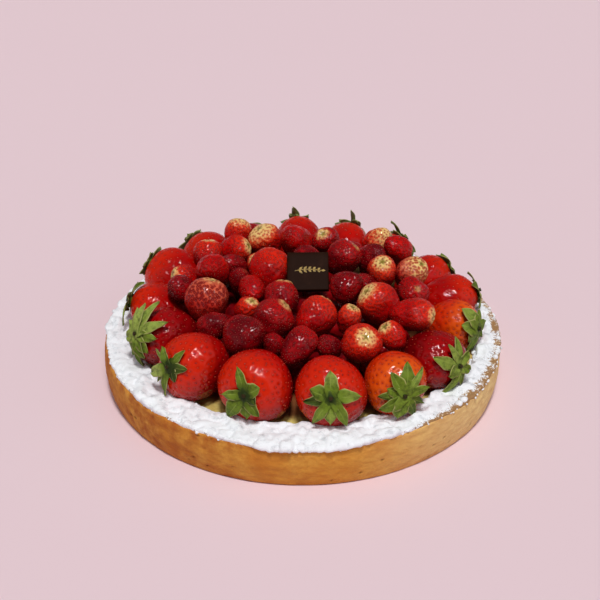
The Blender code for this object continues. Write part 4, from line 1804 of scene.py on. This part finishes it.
    def clump_mesh(self) -> Mesh:
        """The loose clumps, half of them along the band's inner edge, some of those on the cream.

        Returns:
            Their mesh, in place.
        """
        chance = np.random.default_rng(self.CHANCE)
        shape, faces = ball(2)
        bunch = Bunch()
        for _ in range(self.clumps):
            angle = chance.uniform(0, TAU)
            around = np.array([angle])
            inner, outer = self.inner_edge(around)[0], self.outer_edge(around)[0]
            pick = chance.uniform()
            if pick < self.INNER_CLUMPS:
                radius = inner + chance.normal(1.0, 1.1) * MM
                size = chance.lognormal(math.log(1.0), 0.5) * MM
            elif pick < self.INNER_CLUMPS + self.OUTER_CLUMPS:
                radius = outer - abs(chance.normal(0.8, 0.4)) * MM
                size = chance.lognormal(math.log(0.5), 0.3) * MM
            else:
                radius = chance.uniform(inner, outer - 1 * MM)
                size = chance.lognormal(math.log(0.9), 0.4) * MM
            size = min(size, self.largest)
            bed, out = self.bed(around, np.array([radius]))
            middle = (bed + out * self.thickness * 0.6 * (inner < radius < outer - 0.8 * MM))[0]
            wild = 1 + 0.3 * self.relief.at(shape * size + angle, size * 0.9)
            stretch = np.array([*chance.uniform(0.8, 1.4, 2), chance.uniform(0.6, 1.0)]) * size
            bunch.add(middle + shape * wild[:, None] * stretch, faces)
        return bunch.mesh("clumps")


# ---- Plaque ----


@dataclass
class ChocolatePlaque:
    """The square plaque, with a plain gold sprig printed on its face.

    Attributes:
        rounding: How far its edges are rounded.
        unevenness: How far its surface strays from flat.
        print_height: How thick the print is.
        sprig_span: How long the sprig's stem is.
        leaf_pairs: How many pairs of leaves the sprig has.
        leaf_width: How wide they are.
        stem_width: How wide the stem is.
    """

    rounding: float = 0.45 * MM
    unevenness: float = 0.06 * MM
    print_height: float = 0.12 * MM
    sprig_span: float = 15 * MM
    leaf_pairs: int = 5
    leaf_width: float = 1.3 * MM
    stem_width: float = 0.55 * MM

    NODE = "chocolate_plaque"
    CUTS = 7                 # across each face
    STEM_STROKES = 12
    LEAF_ANGLE = 0.75        # between a leaf and the stem, in radians

    def placing(self) -> Matrix:
        """Finds how the plaque leans.

        Returns:
            Its own axes in the tart's: across, up its face and out of it, from its middle.
        """
        mesh = frame["nodes"][self.NODE].data
        front = max(mesh.polygons, key=lambda face: (round(face.area, 9), -face.normal.y))
        out = Vector(front.normal)
        if out.z < 0:
            out.negate()
        across = Vector((0, 1, 0)).cross(out)
        normals = [face.normal for face in mesh.polygons]
        sides = [normal for normal in normals if abs(normal.dot(out)) < 0.01 and abs(normal.x) > 0.9]
        if sides:
            across = Vector(sides[0]) * (1 if sides[0].x > 0 else -1)
        across.normalize()
        low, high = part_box(self.NODE)
        axes = Matrix((across, out.cross(across), out)).transposed().to_4x4()
        return Matrix.Translation((low + high) / 2) @ axes

    def build(self) -> None:
        """Makes the plaque and its print."""
        placing = self.placing()
        corners, _ = node_points(self.NODE)
        local = np.array([(placing.inverted() @ Vector(corner))[:] for corner in corners])
        size = local.max(axis=0) - local.min(axis=0)
        form = bmesh.new()
        bmesh.ops.create_cube(form, size=1)
        bmesh.ops.scale(form, vec=size, verts=form.verts[:])
        long = [edge for edge in form.edges if edge.calc_length() > size[2] * 1.5]
        bmesh.ops.subdivide_edges(form, edges=long, cuts=self.CUTS, use_grid_fill=True)
        sharp = [edge for edge in form.edges if edge.calc_face_angle(0.0) > 1.0]
        bmesh.ops.bevel(form, geom=sharp, offset=self.rounding, segments=3, affect="EDGES", profile=0.5)
        relief = Lumps(51)
        for vertex in form.verts:
            vertex.co += vertex.normal * self.unevenness * relief.at(np.array([vertex.co[:]]), 4 * MM)[0]
        bmesh.ops.transform(form, matrix=placing, verts=form.verts[:])
        mesh = mesh_of("plaque", form)
        mesh.shade_smooth()
        add_piece("chocolate_square", mesh, TemperedChocolate().material(), "dark_chocolate", self.NODE)
        sprig = self.sprig(size[2] / 2)
        sprig.transform(placing)
        add_piece("gold_sprig", sprig, GoldPrint().material(), "gold_print")

    def sprig(self, level: float) -> Mesh:
        """A leafy sprig lying on the face.

        Args:
            level: The face's height over the plaque's middle.

        Returns:
            The mesh, in the plaque's own axes.
        """
        form = bmesh.new()
        span = self.sprig_span

        def stroke(start: Vector, end: Vector, width: float) -> None:
            """Adds a flat pointed leaf.

            Args:
                start: Its foot.
                end: Its tip.
                width: Its width.
            """
            along = end - start
            side = Vector((-along.y, along.x)).normalized() * width / 2
            rim = [start, start + along * 0.3 + side * 0.8, start + along * 0.6 + side, end]
            rim += [start + along * 0.6 - side, start + along * 0.3 - side * 0.8]
            verts = [form.verts.new((p.x, p.y, level + 0.06 * MM)) for p in rim]
            face = form.faces.new(verts)
            if face.normal.z < 0:
                face.normal_flip()

        def stem_at(share: float) -> Vector:
            """A point of the gently curved stem."""
            return Vector(((share - 0.5) * span, math.sin(share * math.pi) * span * 0.06))

        for step in range(self.STEM_STROKES):
            ends = [stem_at((step + part) / self.STEM_STROKES) for part in (0, 1.3)]
            stroke(*ends, self.stem_width)
        for pair in range(self.leaf_pairs):
            share = 0.16 + 0.7 * pair / (self.leaf_pairs - 1)
            root = stem_at(share)
            reach = span * (0.2 - 0.018 * pair)
            for side in (-1, 1):
                way = Vector((math.cos(self.LEAF_ANGLE), side * math.sin(self.LEAF_ANGLE)))
                stroke(root, root + way * reach, self.leaf_width)
        stroke(stem_at(0.98), stem_at(0.98) + Vector((0.17 * span, 0)), self.leaf_width)
        bmesh.ops.recalc_face_normals(form, faces=form.faces[:])
        extruded = bmesh.ops.extrude_face_region(form, geom=form.faces[:])
        raised = [item for item in extruded["geom"] if isinstance(item, bmesh.types.BMVert)]
        bmesh.ops.translate(form, verts=raised, vec=(0, 0, self.print_height))
        bmesh.ops.recalc_face_normals(form, faces=form.faces[:])
        return mesh_of("sprig", form)


# ---- Studio ----


class Lamp(NamedTuple):
    """A distant soft light. Angles in degrees."""

    name: str
    turn: float          # where it hangs: 0 at the front, 90 to the right
    rise: float          # how high over the floor
    spread: float        # how wide it looks from the tart
    strength: float
    colour: Colour = (1.0, 1.0, 1.0)


@dataclass
class Studio:
    """The floor, the lights and the camera.

    Attributes:
        distance: How far the camera is from the middle of the tart's base.
        elevation: How high it looks from, in degrees.
        pan: How far it is turned sideways off that middle, in degrees.
        tilt: How far it is turned up off it, in degrees.
        lens: Its focal length in millimetres.
        sensor: Its sensor's width in millimetres.
        nearest: The nearest distance that it shows.
        floor_size: How wide the floor is.
        floor_gap: How far the floor lies under the tart's base.
        sky: How bright the light from all round is.
        sky_colour: Its colour.
        floor_colour: The floor's colour.
    """

    WARM = (1.0, 0.99, 0.98)
    LAMPS = (
        Lamp("overhead_softbox", 4, 72, 9, 1.85, WARM),
        Lamp("left_bulb", -16, 63, 6, 0.26, WARM),
        Lamp("right_bulb", 22, 61, 6, 0.34, WARM),
        Lamp("left_fill", -55, 28, 60, 0.15),
        Lamp("right_fill", 60, 28, 60, 0.35),
    )

    distance: float = 0.7469
    elevation: float = 33.93
    pan: float = 0.110
    tilt: float = 2.849
    lens: float = 78.0
    sensor: float = 36.0
    nearest: float = 0.01
    floor_size: float = 12.0
    floor_gap: float = 0.2 * MM
    sky: float = 0.15
    sky_colour: Colour = shown(244, 236, 240)
    floor_colour: Colour = shown(231, 207, 214)

    def build(self) -> None:
        """Sets the floor, the lights and the camera."""
        self.floor()
        for lamp in self.LAMPS:
            self.hang(lamp)
        world = bpy.data.worlds.new("studio")
        world.use_nodes = True
        background = world.node_tree.nodes["Background"].inputs
        background["Color"].default_value = (*self.sky_colour, 1.0)
        background["Strength"].default_value = self.sky
        bpy.context.scene.world = world
        bpy.context.scene.view_settings.view_transform = "Standard"
        self.camera()

    def floor(self) -> None:
        """The plain pale floor."""
        form = bmesh.new()
        bmesh.ops.create_grid(form, x_segments=2, y_segments=2, size=self.floor_size / 2)
        bmesh.ops.translate(form, verts=form.verts[:], vec=(0, 0, -self.floor_gap))
        mesh = mesh_of("floor", form)
        sheet = NodeSheet("floor")
        sheet.set(Base_Color=self.floor_colour, Roughness=0.9, Specular_IOR_Level=0.1)
        mesh.materials.append(sheet.material)
        floor = add_object("floor", mesh)

    def hang(self, lamp: Lamp) -> None:
        """Hangs one distant soft light.

        Args:
            lamp: The light.
        """
        light = bpy.data.lights.new(lamp.name, "SUN")
        light.energy = lamp.strength
        light.angle = math.radians(lamp.spread)
        light.color = lamp.colour
        turn, rise = math.radians(lamp.turn), math.radians(lamp.rise)
        toward = Vector((math.sin(turn) * math.cos(rise), -math.cos(turn) * math.cos(rise), math.sin(rise)))
        add_object(lamp.name, light, toward, (-toward).to_track_quat("-Z", "Y"))

    def camera(self) -> None:
        """The camera, turned so that the tart stands a little low in the frame."""
        raised = math.radians(self.elevation)
        eye = Vector((0, -math.cos(raised), math.sin(raised))) * self.distance
        lens = bpy.data.cameras.new("camera")
        lens.lens = self.lens
        lens.sensor_width = self.sensor
        lens.clip_start = self.nearest
        pan = Quaternion((0, 1, 0), math.radians(self.pan))
        tilt = Quaternion((1, 0, 0), math.radians(self.tilt))
        aim = (-eye).to_track_quat("-Z", "Y") @ pan @ tilt
        bpy.context.scene.camera = add_object("camera", lens, eye, aim)


def main() -> None:
    """Builds the studio and the tart, from the case inward and upward."""
    logging.basicConfig(level=logging.INFO, format="%(name)s: %(message)s")
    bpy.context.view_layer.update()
    Studio().build()
    case = ShortcrustCase()
    case.build()
    cream = PastryCream()
    cream.build()
    IcingSugar(case, cream).build()
    BerryRing().build()
    BerryHeap().build()
    LowerLayer().build()
    ChocolatePlaque().build()


if __name__ == "__main__":
    main()
